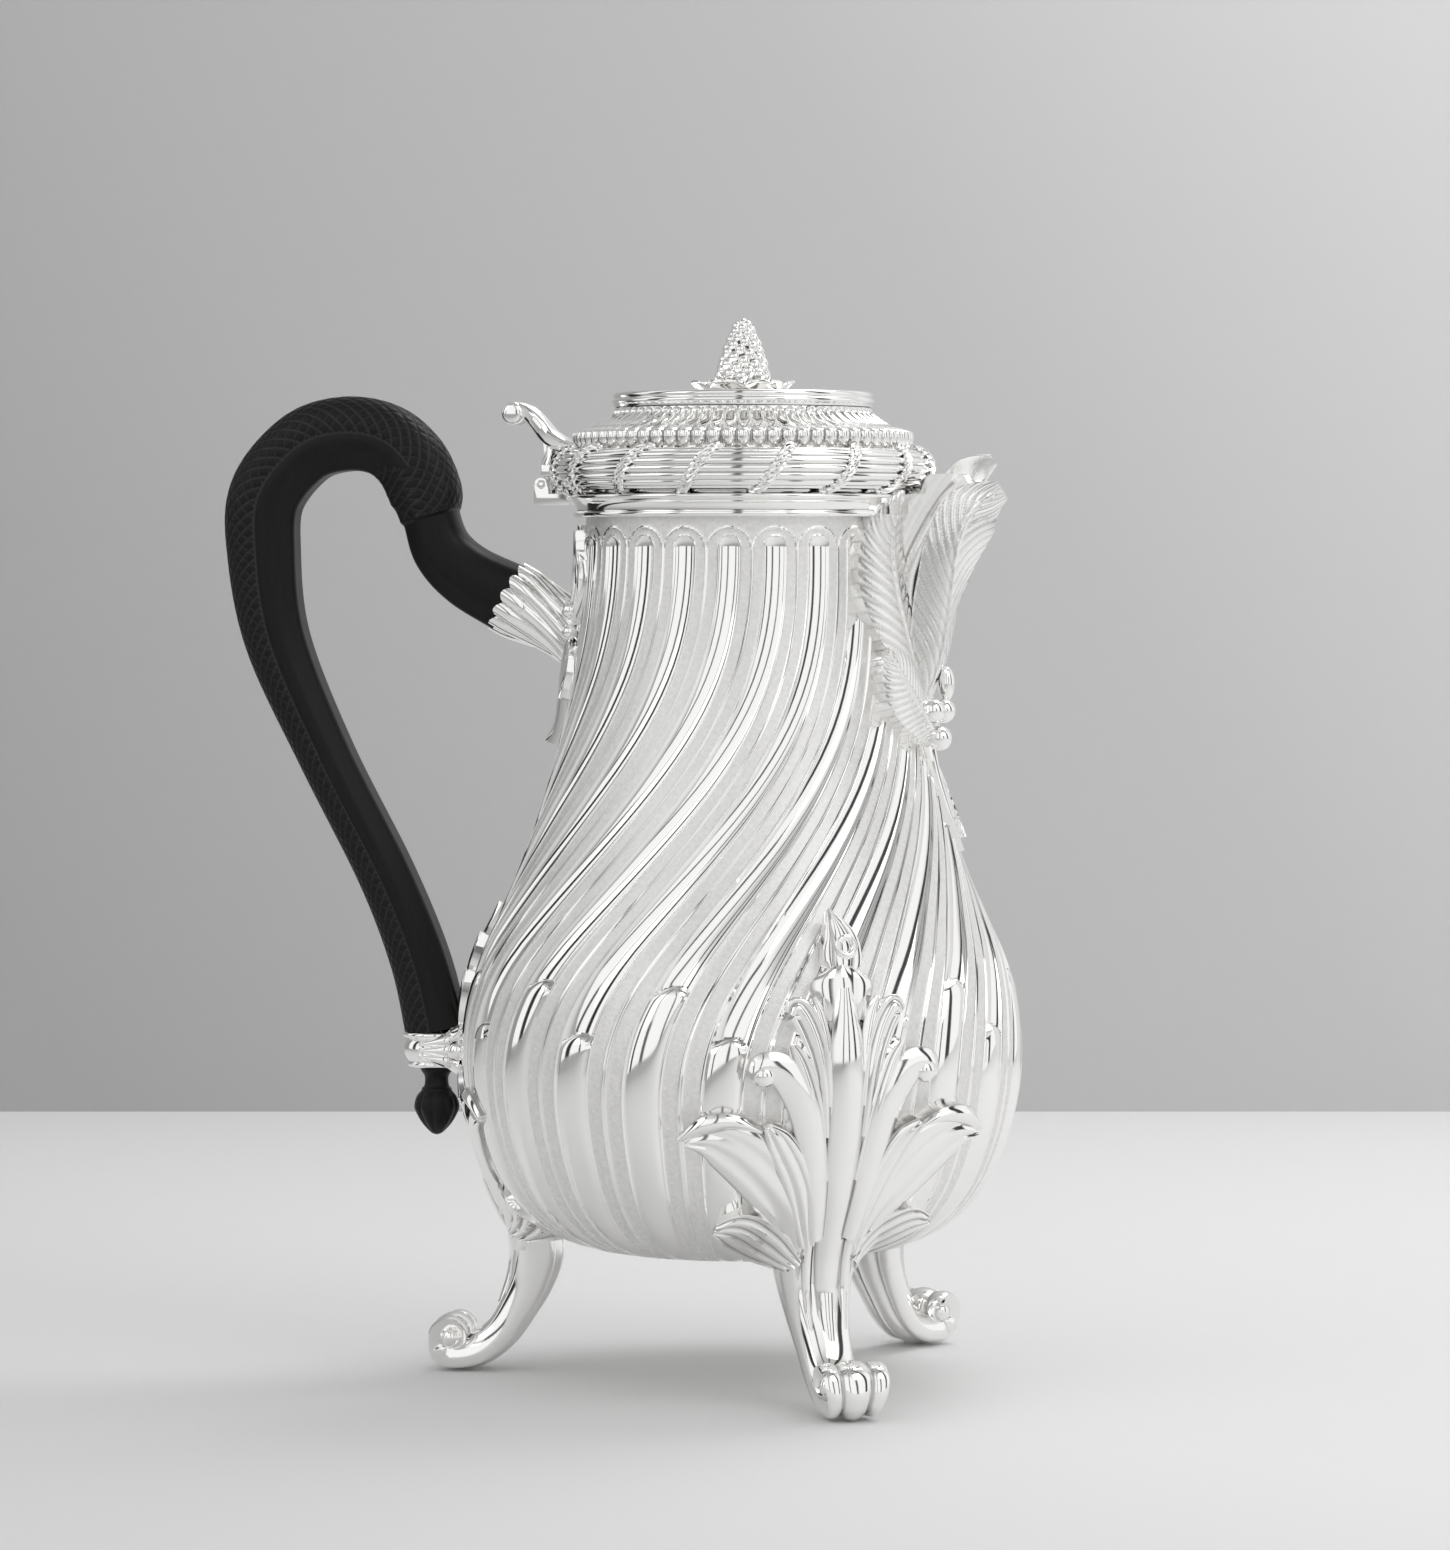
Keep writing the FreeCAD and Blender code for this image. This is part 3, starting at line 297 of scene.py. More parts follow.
base_angles = np.radians(np.linspace(-90, -58, 9))
low_rows = [(base_middle + base_curve * math.cos(a), base_middle_z + base_curve * math.sin(a))
            for a in base_angles]
low_rows_top = low_rows[-1][1]
belly_rows, cable_rows = np.arange(low_rows_top + 2.4, 96, 2.6), np.arange(96, 118.6, 0.75)
flare_rows, arch_rows = np.arange(120, 226, 4.2), np.arange(226, 238.6, 0.5)
row_heights = np.concatenate([belly_rows, cable_rows, flare_rows, arch_rows, [240, 243]])
outer_profile = low_rows + [(float(pot_radius(z)), z) for z in row_heights]
relief_start = 2.0
rings, mattes, painted_shades = [], [], []
for radius, z in outer_profile:
    height, matte, painted_shade = flute_relief(z, radius)
    out, up = pot_normal(max(z, base_height + 0.4))
    if z < low_rows_top + 0.01:
        out, up = (radius - base_middle) / base_curve, (z - base_middle_z) / base_curve
        height = height * min(1.0, (z - base_height) / relief_start)
    azimuth = np.radians(first_flute + flute_pitch * (flute_of + share_of) + twisted(z))
    r = radius + out * height
    rings.append(np.stack([r * np.cos(azimuth), r * np.sin(azimuth), z + up * height], -1))
    mattes.append(matte)
    painted_shades.append(painted_shade)
brim_wall, brim_round = 1.0, 0.3
brim = [(neck_radius, mouth_height - brim_round), (neck_radius - brim_round, mouth_height),
        (neck_radius - 0.8, mouth_height), (neck_radius - brim_wall, mouth_height - brim_round)]
inner_wall = 2.9
inner_heights = (233, 215, 190, 165, 140, 118, 100, 84, 68, 56, 47)
inner = brim + [(neck_radius - brim_wall, 238.0)]
inner += [(float(pot_radius(z)) - inner_wall, z) for z in inner_heights]
inner += [(base_middle, base_height + inner_wall)]
azimuth = np.radians(first_flute + flute_pitch * (flute_of + share_of))
for r, z in inner:
    rings.append(np.stack([r * np.cos(azimuth), r * np.sin(azimuth), np.full_like(azimuth, z)], -1))
    mattes.append(np.zeros_like(azimuth))
    painted_shades.append(np.zeros_like(azimuth))
pot_body = piece("pot_body", [ring_part(rings, mattes, painted_shades)], silver)
fix(pot_body, "pot", "silver", "body_shell")


# Mouth moulding: a drawn silver wire soldered round the mouth, with a bead, a hollow and a lip
# that the lid's edge rests over.
def turned_part(outline, columns=160, middle=(0.0, 0.0), painted_shade=0.0):
    """A ring or solid of revolution from a closed outline of (radius, height) points."""
    outline = np.asarray(outline, float)
    turn = np.linspace(0, 2 * math.pi, columns, endpoint=False)
    closed = np.concatenate([outline, outline[:1]])
    grid = np.stack([closed[:, :1] * np.cos(turn) + middle[0], closed[:, :1] * np.sin(turn) + middle[1],
                     np.repeat(closed[:, 1:], columns, 1)], -1)
    return ring_part(grid, 0.0, painted_shade, closed=False)


def arc(middle, radius, start, end, steps):
    """Points on a round stretch of an outline, from one angle to another in degrees."""
    angles = np.radians(np.linspace(start, end, steps))
    return np.stack([middle[0] + radius * np.cos(angles), middle[1] + radius * np.sin(angles)], -1)


rim_low, rim_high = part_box("rim_moulding")
rim_bottom, rim_reach = rim_low.z / MM, rim_high.y / MM
rim_outline = np.concatenate([
    [(neck_radius + 0.1, rim_bottom)],
    arc((rim_reach - 2.0, rim_bottom + 0.9), 0.9, -90, 90, 9),
    [(rim_reach - 2.3, rim_bottom + 2.0)],
    arc((rim_reach + 0.9, rim_bottom + 1.9), 3.0, 178, 118, 9),
    [(rim_reach - 0.3, mouth_height - 1.5)],
    arc((rim_reach - 0.35, mouth_height - 0.75), 0.7, -60, 90, 8),
    [(neck_radius + 0.1, mouth_height)],
])
rim = piece("mouth_moulding", [turned_part(rim_outline)], silver, 35)
fix(rim, "pot", "silver", "rim_moulding")


# Foot leaves: cast acanthus plates soldered up the belly over each leg, with a polished rib in
# the middle, curled side leaves and, on the two front feet, a crown and a pierced flame on top.
def smooth(points, stations):
    """A smooth curve through points, at stations from 0 to 1."""
    points = np.asarray(points, float)
    last = len(points) - 1
    reach = np.clip(np.asarray(stations, float), 0, 1) * last
    index = np.minimum(reach.astype(int), last - 1)
    f = reach - index
    if points.ndim == 2:
        f = f[:, None]
    p0, p1 = points[np.maximum(index - 1, 0)], points[index]
    p2, p3 = points[index + 1], points[np.minimum(index + 2, last)]
    return 0.5 * (2 * p1 + (p2 - p0) * f + (2 * p0 - 5 * p1 + 4 * p2 - p3) * f ** 2
                  + (3 * p1 - p0 - 3 * p2 + p3) * f ** 3)


def unit(vectors):
    """The vectors at a length of one."""
    return vectors / np.maximum(np.linalg.norm(vectors, axis=-1, keepdims=True), 1e-9)


def fluted(count, depth, camber=0.0):
    """Relief of a carved leaf, with painted shade between its ridges: ridges along it and a raised or sunk
    middle.
    """
    def relief(along, across):
        ridges = np.abs(np.cos(math.pi * count * across / 2)) + 0 * along
        height = depth * ridges * np.clip(1.2 - along * 0.4, 0, 1) + camber * (1 - across ** 2)
        return height, np.clip(0.22 - ridges, 0, 1) * 2.5
    return relief


def ribbed(camber):
    """Relief of a plain rounded rib, with a painted shade line along both edges."""
    def relief(along, across):
        return camber * (1 - across ** 2) + 0 * along, np.clip(np.abs(across) - 0.84, 0, 1) * 3 + 0 * along
    return relief


sunk_back = -1.7
least_half_width = 0.15


def leaf_part(spine, widths, relief, facing=((0, 0, 1), (0, 0, 1)), thickness=1.3, rows=40, columns=17,
              place=None, satin=0.0):
    """A closed leaf along a spine, with half widths, surface relief and the way its front faces."""
    along = np.linspace(0, 1, rows)
    middle = smooth(spine, along)
    forward = unit(np.gradient(middle, axis=0))
    face = smooth(np.asarray(facing, float), along)
    face = unit(face - forward * np.sum(face * forward, -1, keepdims=True))
    side = np.cross(forward, face)
    half = np.clip(smooth(np.asarray(widths, float), along), least_half_width, None)
    across = np.linspace(-1, 1, columns)
    raised, hollow = relief(along[:, None], across[None, :])
    flat = middle[:, None] + side[:, None] * (half[:, None] * across)[..., None]
    edge = np.sqrt(np.clip(1 - across ** 4, 0, 1)) * 0.5 + 0.5
    front = flat + face[:, None] * (raised * edge)[..., None]
    back = flat - face[:, None] * (thickness * edge)[None, :, None]
    if place is not None:
        back[..., 2] = sunk_back
    grid = np.concatenate([front, back[:, ::-1]], 1)
    # Painted shade in the hollows of the front; the back has none.
    painted_shade = np.concatenate([hollow, np.zeros_like(hollow)], 1)
    if place is not None:
        grid = place(grid)
    return ring_part(grid, satin, painted_shade)


leg_front_heights = (14.5, 20, 27, 34, 41, 52, 62)
leg_front_reaches = (71.7, 68.4, 65.8, 64.4, 64.9, 67.6, 70.4)
leg_share_end, leg_share_fade, leg_blend, blend_limit = 16, 8, 3, 20
lowest_place, tilt_floor = base_height + 2, 60


def on_foot(azimuth):
    """Places points as on the pot's side, but near the middle they run down on to the leg's front."""
    def place(grid):
        z = grid[..., 1]
        radius = pot_radius(np.maximum(z, lowest_place))
        leg = np.interp(z, leg_front_heights, leg_front_reaches)
        share = np.clip((leg_share_end - np.abs(grid[..., 0])) / leg_share_fade, 0, 1)
        beyond = np.clip((leg - radius) / leg_blend, -blend_limit, blend_limit)
        radius = radius + leg_blend * np.log1p(np.exp(beyond)) * share
        turn = math.radians(azimuth) + grid[..., 0] / radius
        out, up = pot_normal(np.maximum(z, tilt_floor))
        r = radius + out * grid[..., 2]
        return np.stack([r * np.cos(turn), r * np.sin(turn), z + up * grid[..., 2]], -1)
    return place


def ball_part(middle, radii, rows=12, columns=18, place=None):
    """A rounded knob or berry."""
    middle, radii = np.asarray(middle, float), np.broadcast_to(radii, 3).astype(float)
    angles = np.linspace(-math.pi / 2, math.pi / 2, rows)[1:-1]
    turn = np.linspace(0, 2 * math.pi, columns, endpoint=False)
    grid = np.stack([np.cos(angles)[:, None] * np.cos(turn), np.cos(angles)[:, None] * np.sin(turn),
                     np.repeat(np.sin(angles)[:, None], columns, 1)], -1)
    pole = np.array([0, 0, radii[2]])
    foot, top = (np.broadcast_to(middle + way * pole, (1, columns, 3)) for way in (-1, 1))
    grid = np.concatenate([foot, middle + grid * radii, top])
    return ring_part(grid if place is None else place(grid), closed=False)


def eye_part(middle, radius, thickness, place, rows=24, columns=10):
    """A small round eye lying in the leaf."""
    turn = np.linspace(0, 2 * math.pi, rows + 1)
    ring = np.linspace(0, 2 * math.pi, columns, endpoint=False)
    reach = radius + thickness * np.cos(ring)
    grid = np.stack([np.cos(turn)[:, None] * reach, np.sin(turn)[:, None] * reach,
                     np.repeat(thickness * np.sin(ring)[None], rows + 1, 0)], -1) + np.asarray(middle, float)
    return ring_part(place(grid), closed=False)


side_leaves = [
    ([(7.4, 35, -3.0), (9.0, 46, 0.4), (13, 57, 2.2), (23, 69, 3.2), (33, 75.5, 4.2), (41, 75.5, 5.6)],
     [1.8, 4.2, 6.6, 7.6, 5.8, 1.0], 3),
    ([(22, 78, 3.4), (29, 80.6, 5.2), (36, 80, 6.2), (42.5, 76, 5.0)], [0.8, 1.9, 2.3, 0.8], 1),
    ([(6.4, 46, 1.6), (11, 63, 3.0), (16.5, 74, 3.8), (20.5, 79.5, 5.4)], [2.2, 4.0, 3.8, 1.4], 3),
    ([(9, 39.5, 0.8), (16, 45.5, 2.0), (24, 50.5, 3.2), (30, 51.5, 4.2)], [2.4, 5.2, 5.4, 1.6], 4),
    ([(12, 54, 1.2), (20, 62, 1.8), (27.5, 67, 3.0)], [2.0, 3.4, 1.0], 2),
]
high_leaves = [
    ([(4.8, 48, 2.4), (7.6, 66, 3.0), (11, 82, 3.6), (16.5, 92.5, 4.4), (22, 94.5, 5.2), (24, 91, 5.0)],
     [2.2, 3.4, 4.0, 4.2, 3.4, 2.2], 1),
    ([(5.2, 64, 2.4), (8.6, 82, 3.0), (12.4, 94, 3.8), (14.8, 99.5, 4.6)], [1.4, 2.4, 2.7, 1.2], 2),
    ([(5.0, 76, 2.4), (6.8, 93, 3.0), (9.6, 103, 3.8), (12.8, 108.5, 5.0), (14.6, 107, 4.8)],
     [1.6, 2.6, 3.2, 3.0, 1.4], 2),
    ([(4.6, 84, 2.2), (5.6, 98, 2.6), (7.4, 107, 3.2), (8.8, 111.5, 3.8)], [1.2, 1.9, 2.0, 0.9], 1),
]
low_stand_off = 0.4
high_rib_top, low_rib_top = 113.5, 58.0
rib_lifts = (-1.4, -0.2, 0.6, 1.6, 2.8, 3.2, 2.8)
rib_widths = [2.6, 3.0, 3.4, 4.0, 4.5, 4.6, 4.5, 2.6]
edge_places = (5.0, 5.3, 5.6, 6.0, 6.0, 5.8, 5.6)
edge_lifts = (-1.6, -0.6, 0.3, 1.4, 2.2, 2.6, 2.4)
edge_widths = [1.0, 1.2, 1.4, 1.4, 1.3, 1.2, 0.7]
curl_ball, curl_ball_radii = (22.0, 92.0, 4.4), (3.0, 3.0, 2.6)
crown_spine = [(0, 106, 1.0), (0, 112, 2.0), (0, 116, 2.4), (0, 119, 1.8)]
crown_widths = [6.6, 8.2, 8.0, 3.6]
flame_spine = [(0, 117, 1.6), (0.6, 121, 2.2), (0.2, 127, 2.4), (-2.6, 134.5, 1.6)]
flame_widths = [3.6, 5.2, 4.4, 0.5]
flame_eye, flame_eye_radius, flame_eye_thickness = (1.4, 124.0, 3.4), 2.3, 0.9


def on_hand(hand, spine):
    """A spine on the one or the other side of the middle."""
    return [(hand * a, z, lift) for a, z, lift in spine]


def foot_leaf_parts(azimuth, full):
    """Leaves and ribs of one foot; only a full one has the high leaves, the crown and the flame."""
    place = on_foot(azimuth)
    stand_off = 1.0 if full else low_stand_off
    rib_top = high_rib_top if full else low_rib_top
    parts = []
    for spine, widths, count in side_leaves + (high_leaves if full else []):
        for hand in (1, -1):
            turned_spine = [(a, z, stand_off * lift) for a, z, lift in on_hand(hand, spine)]
            leaf = leaf_part(turned_spine, widths, fluted(count, 0.9, 0.5), thickness=3.0, place=place)
            parts.append(leaf)
    rib_heights = np.concatenate([[20, 29], np.linspace(40, rib_top, 5)])
    rib = [(0, z, stand_off * lift) for z, lift in zip(rib_heights, rib_lifts)]
    parts.append(leaf_part(rib, rib_widths, ribbed(2.2), thickness=4.0, place=place))
    edge_heights = np.concatenate([[22, 30], np.linspace(40, rib_top - 2, 5)])
    for hand in (1, -1):
        edge = on_hand(hand, zip(edge_places, edge_heights, edge_lifts))
        parts.append(leaf_part(edge, edge_widths, ribbed(0.9), thickness=2.6, place=place))
    if full:
        for ball in on_hand(1, [curl_ball]) + on_hand(-1, [curl_ball]):
            parts.append(ball_part(ball, curl_ball_radii, place=place))
        parts.append(leaf_part(crown_spine, crown_widths, fluted(3, 0.5, 1.6), thickness=2.0, place=place))
        parts.append(leaf_part(flame_spine, flame_widths, fluted(2, 0.5, 0.8), thickness=2.0, place=place))
        parts.append(eye_part(flame_eye, flame_eye_radius, flame_eye_thickness, place))
    return parts


foot_azimuths = {"left": 60.0, "handle": 180.0, "right": 300.0}
for name, azimuth in foot_azimuths.items():
    foot_leaf = piece("acanthus_" + name, foot_leaf_parts(azimuth, name != "handle"), silver)
    fix(foot_leaf, "pot", "silver", "foot_leaf_" + name)

# Legs: solid castings with a rib down the front, soldered under the leaves. Each runs out to a
# toe that rolls up and back on itself in three lobes and stands flat on the table.
foot_reach, toe_height = 82.2, 9.6
leg_start = [(66.5, 61), (62.2, 52), (58.4, 43), (57.2, 35), (59.4, 26.5), (63.6, 18.4), (68.6, 11.0),
             (75.4, 6.0)]
scroll_angles = np.array([-80, -40, 0, 40, 90, 140, 190, 240, 290])
scroll_radii = np.array([4.8, 4.5, 4.0, 4.1, 4.3, 3.9, 3.1, 2.2, 1.4])
scroll = [(foot_reach + r * math.cos(math.radians(a)), toe_height + r * math.sin(math.radians(a)))
          for a, r in zip(scroll_angles, scroll_radii)]
leg_path = np.array(leg_start + scroll)
leg_thick = [8, 10.4, 12.8, 13.4, 12.2, 10.8, 10, 9.8, 9.4, 7.6, 6.0, 5.2, 4.6, 4.0, 3.4, 2.8, 2.0]
leg_wide = [25, 26, 25, 21, 17.4, 15, 14, 14, 15, 16.6, 18, 18.4, 18.4, 18, 17, 15.5, 13]
leg_rows, leg_front_columns, leg_back_columns = 110, 33, 17
rib_half, bead_place, bead_half, bead_share = 0.40, 0.74, 0.24, 0.62
leg_flat, leg_relief = 0.56, 0.44
back_round, back_width = 0.92, 0.94
groove_place, groove_half, groove_shade = 0.45, 0.06, 0.5
leg_sink = 1.5
eye_sides = np.array([-8.6, -8.2, -7.2, 7.2, 8.2, 8.6])[:, None]
eye_sizes = np.array([0.8, 1.9, 2.5, 2.5, 1.9, 0.8])[:, None]
eye_columns = 32


def foot_part(reach, side, height, azimuth, painted_shade=0.0):
    """A part of the foot at an azimuth, from its reach, its step to the side and its height."""
    turn = math.radians(azimuth)
    return ring_part(np.stack([reach * math.cos(turn) - side * math.sin(turn),
                               reach * math.sin(turn) + side * math.cos(turn), height], -1), 0.0, painted_shade)


def leg_part(azimuth):
    """The leg with its rib and beads, flat under the sole and let into the pot's side."""
    stations = np.linspace(0, 1, leg_rows)
    middle = smooth(leg_path, stations)
    forward = unit(np.gradient(middle, axis=0))
    out = np.stack([-forward[:, 1], forward[:, 0]], -1)
    thick, wide = smooth(leg_thick, stations), smooth(leg_wide, stations)
    front = np.linspace(-1, 1, leg_front_columns)
    rib = np.clip(1 - (front / rib_half) ** 2, 0, 1) ** 0.6
    beads = np.clip(1 - ((np.abs(front) - bead_place) / bead_half) ** 2, 0, 1) ** 0.6
    front_rise = 0.5 * (leg_flat + leg_relief * np.maximum(rib, bead_share * beads))
    back = np.linspace(1, -1, leg_back_columns)[1:-1]
    back_rise = -0.5 * np.sqrt(np.clip(1 - (back_round * back) ** 2, 0, 1)) ** 0.8
    across = np.concatenate([front, back_width * back])
    rise = np.concatenate([front_rise, back_rise])
    flat = middle[:, None] + out[:, None] * (thick[:, None] * -rise)[..., None]
    height = np.maximum(flat[..., 1], 0.0)
    pot_side = pot_radius(np.maximum(height, base_height + 0.1)) - leg_sink
    reach = np.maximum(flat[..., 0], np.where(height > base_height, pot_side, 0.0))
    # Painted shade in the two grooves beside the rib.
    grooves = np.where(np.abs(np.abs(front) - groove_place) < groove_half, groove_shade, 0.0)
    painted_shade = np.concatenate([grooves, np.zeros(len(back))])
    return foot_part(reach, wide[:, None] * across / 2, height, azimuth, painted_shade)


def toe_eye_part(azimuth):
    """The rounded eye that the toe rolls up on."""
    round_eye = np.linspace(0, 2 * math.pi, eye_columns, endpoint=False)
    reach = foot_reach + eye_sizes * np.cos(round_eye)
    return foot_part(reach, eye_sides, toe_height + eye_sizes * np.sin(round_eye), azimuth)


for name, azimuth in foot_azimuths.items():
    leg = piece("leg_" + name, [leg_part(azimuth), toe_eye_part(azimuth)], silver, 60)
    fix(leg, "pot", "silver", "foot_leg_" + name)

# Spout lip: a cast gutter in the form of a veined leaf, soldered over the strainer. Its edge
# rises from the mouth moulding to a beak that stands clear of the lid.
spout_low, spout_top = 188.0, 252.5
spout_reach, spout_half = 26.0, 18.0
lid_room, rim_room = 53.1, 48.5
lip_columns, lip_rows, lip_wall = 161, 46, 1.3
lip_start_reach, lip_start_half = 2.8, 4.2
lip_edge_shares = [0.2, 0.42, 0.6, 0.8, 0.93, 1.0]
lip_edge_heights = [243, 247, 251.4, 251.6, 247.4, 245.0]
lip_vein_rise, vein_waves_round, vein_waves_up = 0.4, 9, 7
lip_back, lip_clearance = 0.75 * neck_radius, 0.9


def lip_grid(inset):
    """Points of the lip's outer sheet, or of its inner one at an inset, and the painted shade in its veins.
    """
    turn = np.linspace(-1, 1, lip_columns) * math.pi / 2
    front_share = np.abs(np.cos(turn)) ** 1.4
    side_share = np.sign(turn) * np.abs(np.sin(turn)) ** 1.4
    top = np.interp(front_share, lip_edge_shares, lip_edge_heights)
    rows = np.linspace(0, 1, lip_rows)[:, None]
    z = spout_low + inset * 2 + (top[None] - spout_low - inset * 2) * rows
    share = np.clip((z - spout_low) / (spout_top - spout_low), 0, 1.1)
    front = pot_radius(z) + lip_start_reach + (spout_reach - lip_start_reach) * share ** 1.6 - inset
    half = lip_start_half + (spout_half - lip_start_half) * share ** 0.8 - inset
    wave = np.abs(np.sin(math.pi * (vein_waves_round * np.abs(turn)[None] + vein_waves_up * rows)))
    veins = lip_vein_rise * wave
    x = lip_back + (front + veins - lip_back) * front_share
    y = (half + veins) * side_share
    keep = np.where(z > mouth_height, lid_room, np.where(z > rim_bottom, rim_room, pot_radius(z) + 0.4))
    r = np.hypot(x, y)
    grow = np.maximum(r, keep + (lip_clearance if inset == 0 else 0.0)) / r
    return np.stack([x * grow, y * grow, z], -1), np.clip(0.35 - wave, 0, 1) * 1.6


outer_lip, outer_vein_shade = lip_grid(0.0)
inner_lip, inner_vein_shade = lip_grid(lip_wall)
lip_sheet = np.concatenate([outer_lip, inner_lip[:, ::-1]], 1)
# Painted shade in the veins: faint on the outer sheet, full on the inner one.
lip_painted_shade = np.concatenate([0.25 * outer_vein_shade, inner_vein_shade[:, ::-1]], 1)
rolled_edge = [(51.0, 4.6, 195), (48.0, 6.0, 213), (47.8, 8.0, 222), (49.4, 9.0, 228), (52.8, 9.2, 235.6),
               (57.3, 8.8, 243.9), (60.6, 8.0, 248.6)]
rolled_widths = [0.8, 1.7, 2.2, 2.2, 2.0, 1.6, 0.6]
lip_parts = [ring_part(lip_sheet, 0.6, lip_painted_shade)]
for hand in (-1, 1):
    edge = [(x, hand * y, z) for x, y, z in rolled_edge]
    edge_facing = [(0.3, hand * 0.95, 0.1)] * 2
    lip_parts.append(leaf_part(edge, rolled_widths, ribbed(1.3), edge_facing, thickness=2.4, rows=90,
                               satin=0.4))
spout_lip = piece("spout_beak", lip_parts, silver, 55)
fix(spout_lip, "pot", "silver", "spout_lip")


# Spout leaves: thin cast leaves with chased veins. A pair wraps the lip and curls outwards, a pair
# lies on the neck beside it, and a lower pair spreads under it; one of each stands on either side.
def veined(count, slant, depth, camber=0.0, rib=0.5):
    """Relief of a plain leaf, with painted shade in its hollows: a midrib with slanting veins on both sides.
    """
    def relief(along, across):
        veins = np.abs(np.sin(math.pi * (count * along - slant * np.abs(across))))
        beside = np.clip(np.abs(across) * 6, 0, 1)
        middle = rib * np.clip(1 - np.abs(across) / 0.09, 0, 1)
        height = depth * veins * beside + middle + camber * (1 - across ** 2)
        return height, np.clip(0.35 - veins, 0, 1) * beside * 1.3
    return relief


def folded(count, slant, depth, folds):
    """Relief of a veined leaf that is folded along its midrib, by so much from base to tip."""
    plain = veined(count, slant, depth)

    def relief(along, across):
        height, hollow = plain(along, across)
        fold = smooth(np.asarray(folds, float), along[:, 0])[:, None]
        return height + fold * (1 - np.abs(across) ** 1.4), hollow
    return relief


def on_pot(azimuth):
    """Places (across, height, lift) points on the pot's side about an azimuth in degrees."""
    def place(grid):
        z = grid[..., 1]
        out, up = pot_normal(np.maximum(z, lowest_place))
        radius = pot_radius(np.maximum(z, lowest_place))
        turn = math.radians(azimuth) + grid[..., 0] / radius
        r = radius + out * grid[..., 2]
        return np.stack([r * np.cos(turn), r * np.sin(turn), z + up * grid[..., 2]], -1)
    return place


lip_leaf_foot = [(49, 3.5, 186), (51.8, 3.2, 200), (53.6, 3.2, 212)]
lip_leaf_tips = {"right": [(56.4, 4.8, 222), (60.5, 7.5, 233), (66.0, 9.5, 241.8), (73.6, 10.5, 246.8)],
                 "left": [(55.0, 5.0, 226), (57.5, 8.5, 240), (61.5, 11.0, 250.6), (68.5, 12.0, 255.6)]}
lip_leaf_widths = {"right": [1.5, 5.6, 7.2, 7.8, 8.4, 7.6, 2.8],
                   "left": [1.5, 5.6, 7.2, 7.8, 7.4, 5.8, 1.8]}
lip_folds = [2.0, 5.0, 6.2, 5.6, 3.6, 1.4, 0.4]
lip_facing = [(0.75, 0.66, 0), (0.75, 0.66, 0), (0.72, 0.7, 0), (0.62, 0.78, 0.05), (0.45, 0.88, 0.12),
              (0.3, 0.92, 0.22), (0.25, 0.92, 0.3)]
neck_leaf = ([(5.5, 188, 2.6), (10.5, 204, 3.2), (14.8, 221, 3.2), (16, 235, 3.4), (14, 247.0, 5.4)],
             [2.2, 10.6, 14.6, 11.2, 0.9])
low_leaf = ([(4, 178, 3.2), (10.5, 185, 3.8), (18, 193.5, 4.2), (24, 202, 4.6)], [2.2, 9.0, 10.4, 2.6])
leaf_rows, leaf_columns = 150, 41
for hand, name in ((-1, "right"), (1, "left")):
    spine = [(x, hand * y, z) for x, y, z in lip_leaf_foot + lip_leaf_tips[name]]
    facing = [(x, hand * y, z) for x, y, z in lip_facing]
    curled = leaf_part(spine, lip_leaf_widths[name], folded(16, 3.4, 0.42, lip_folds), facing, 1.1,
                       leaf_rows, leaf_columns, satin=0.3)
    fix(piece("lip_leaf_" + name, [curled], silver, 60), "pot", "silver", "spout_lip_leaf_" + name)
    for label, (spine, widths), node in (("neck_leaf_", neck_leaf, "spout_side_leaf_"),
                                         ("low_leaf_", low_leaf, "spout_low_leaf_")):
        part = leaf_part(on_hand(hand, spine), widths, veined(18, 2.8, 0.3, 0.9, 0.6), thickness=3.6,
                         rows=leaf_rows, columns=leaf_columns, place=on_pot(0), satin=0.35)
        fix(piece(label + name, [part], silver, 60), "pot", "silver", node + name)

# Berries and stem: cast berries with a bud in the fork of the leaves, and a stem whose small leaf
# trails down the body.
berry_radius = 3.4
berry_places = [(54.2, -7.2, 186.4), (55.8, -4.4, 178.8), (56.0, 1.4, 186.2)]
berry_parts = [ball_part(place, berry_radius, 18, 28) for place in berry_places]
bud_place, bud_radii = (56.6, 3.0, 193.6), (2.3, 2.5, 4.8)
berry_parts.append(ball_part(bud_place, bud_radii, 18, 24))
fix(piece("spout_berries_cast", berry_parts, silver), "pot", "silver", "spout_berries")
stem_parts = [
    leaf_part([(0, 180, 2.6), (-0.8, 170, 1.8), (0.4, 160, 1.4), (2.4, 147, 1.0)], [1.6, 1.3, 1.0, 0.4],
              fluted(0, 0.0, 0.9), place=on_pot(0)),
    leaf_part([(0, 172, 1.4), (3.5, 165, 2.0), (6, 156, 2.4), (5.5, 150, 2.6)], [0.8, 2.6, 2.4, 0.4],
              veined(9, 2.0, 0.2, 0.4), place=on_pot(0)),
]
fix(piece("spout_stem_cast", stem_parts, silver), "pot", "silver", "spout_stem")

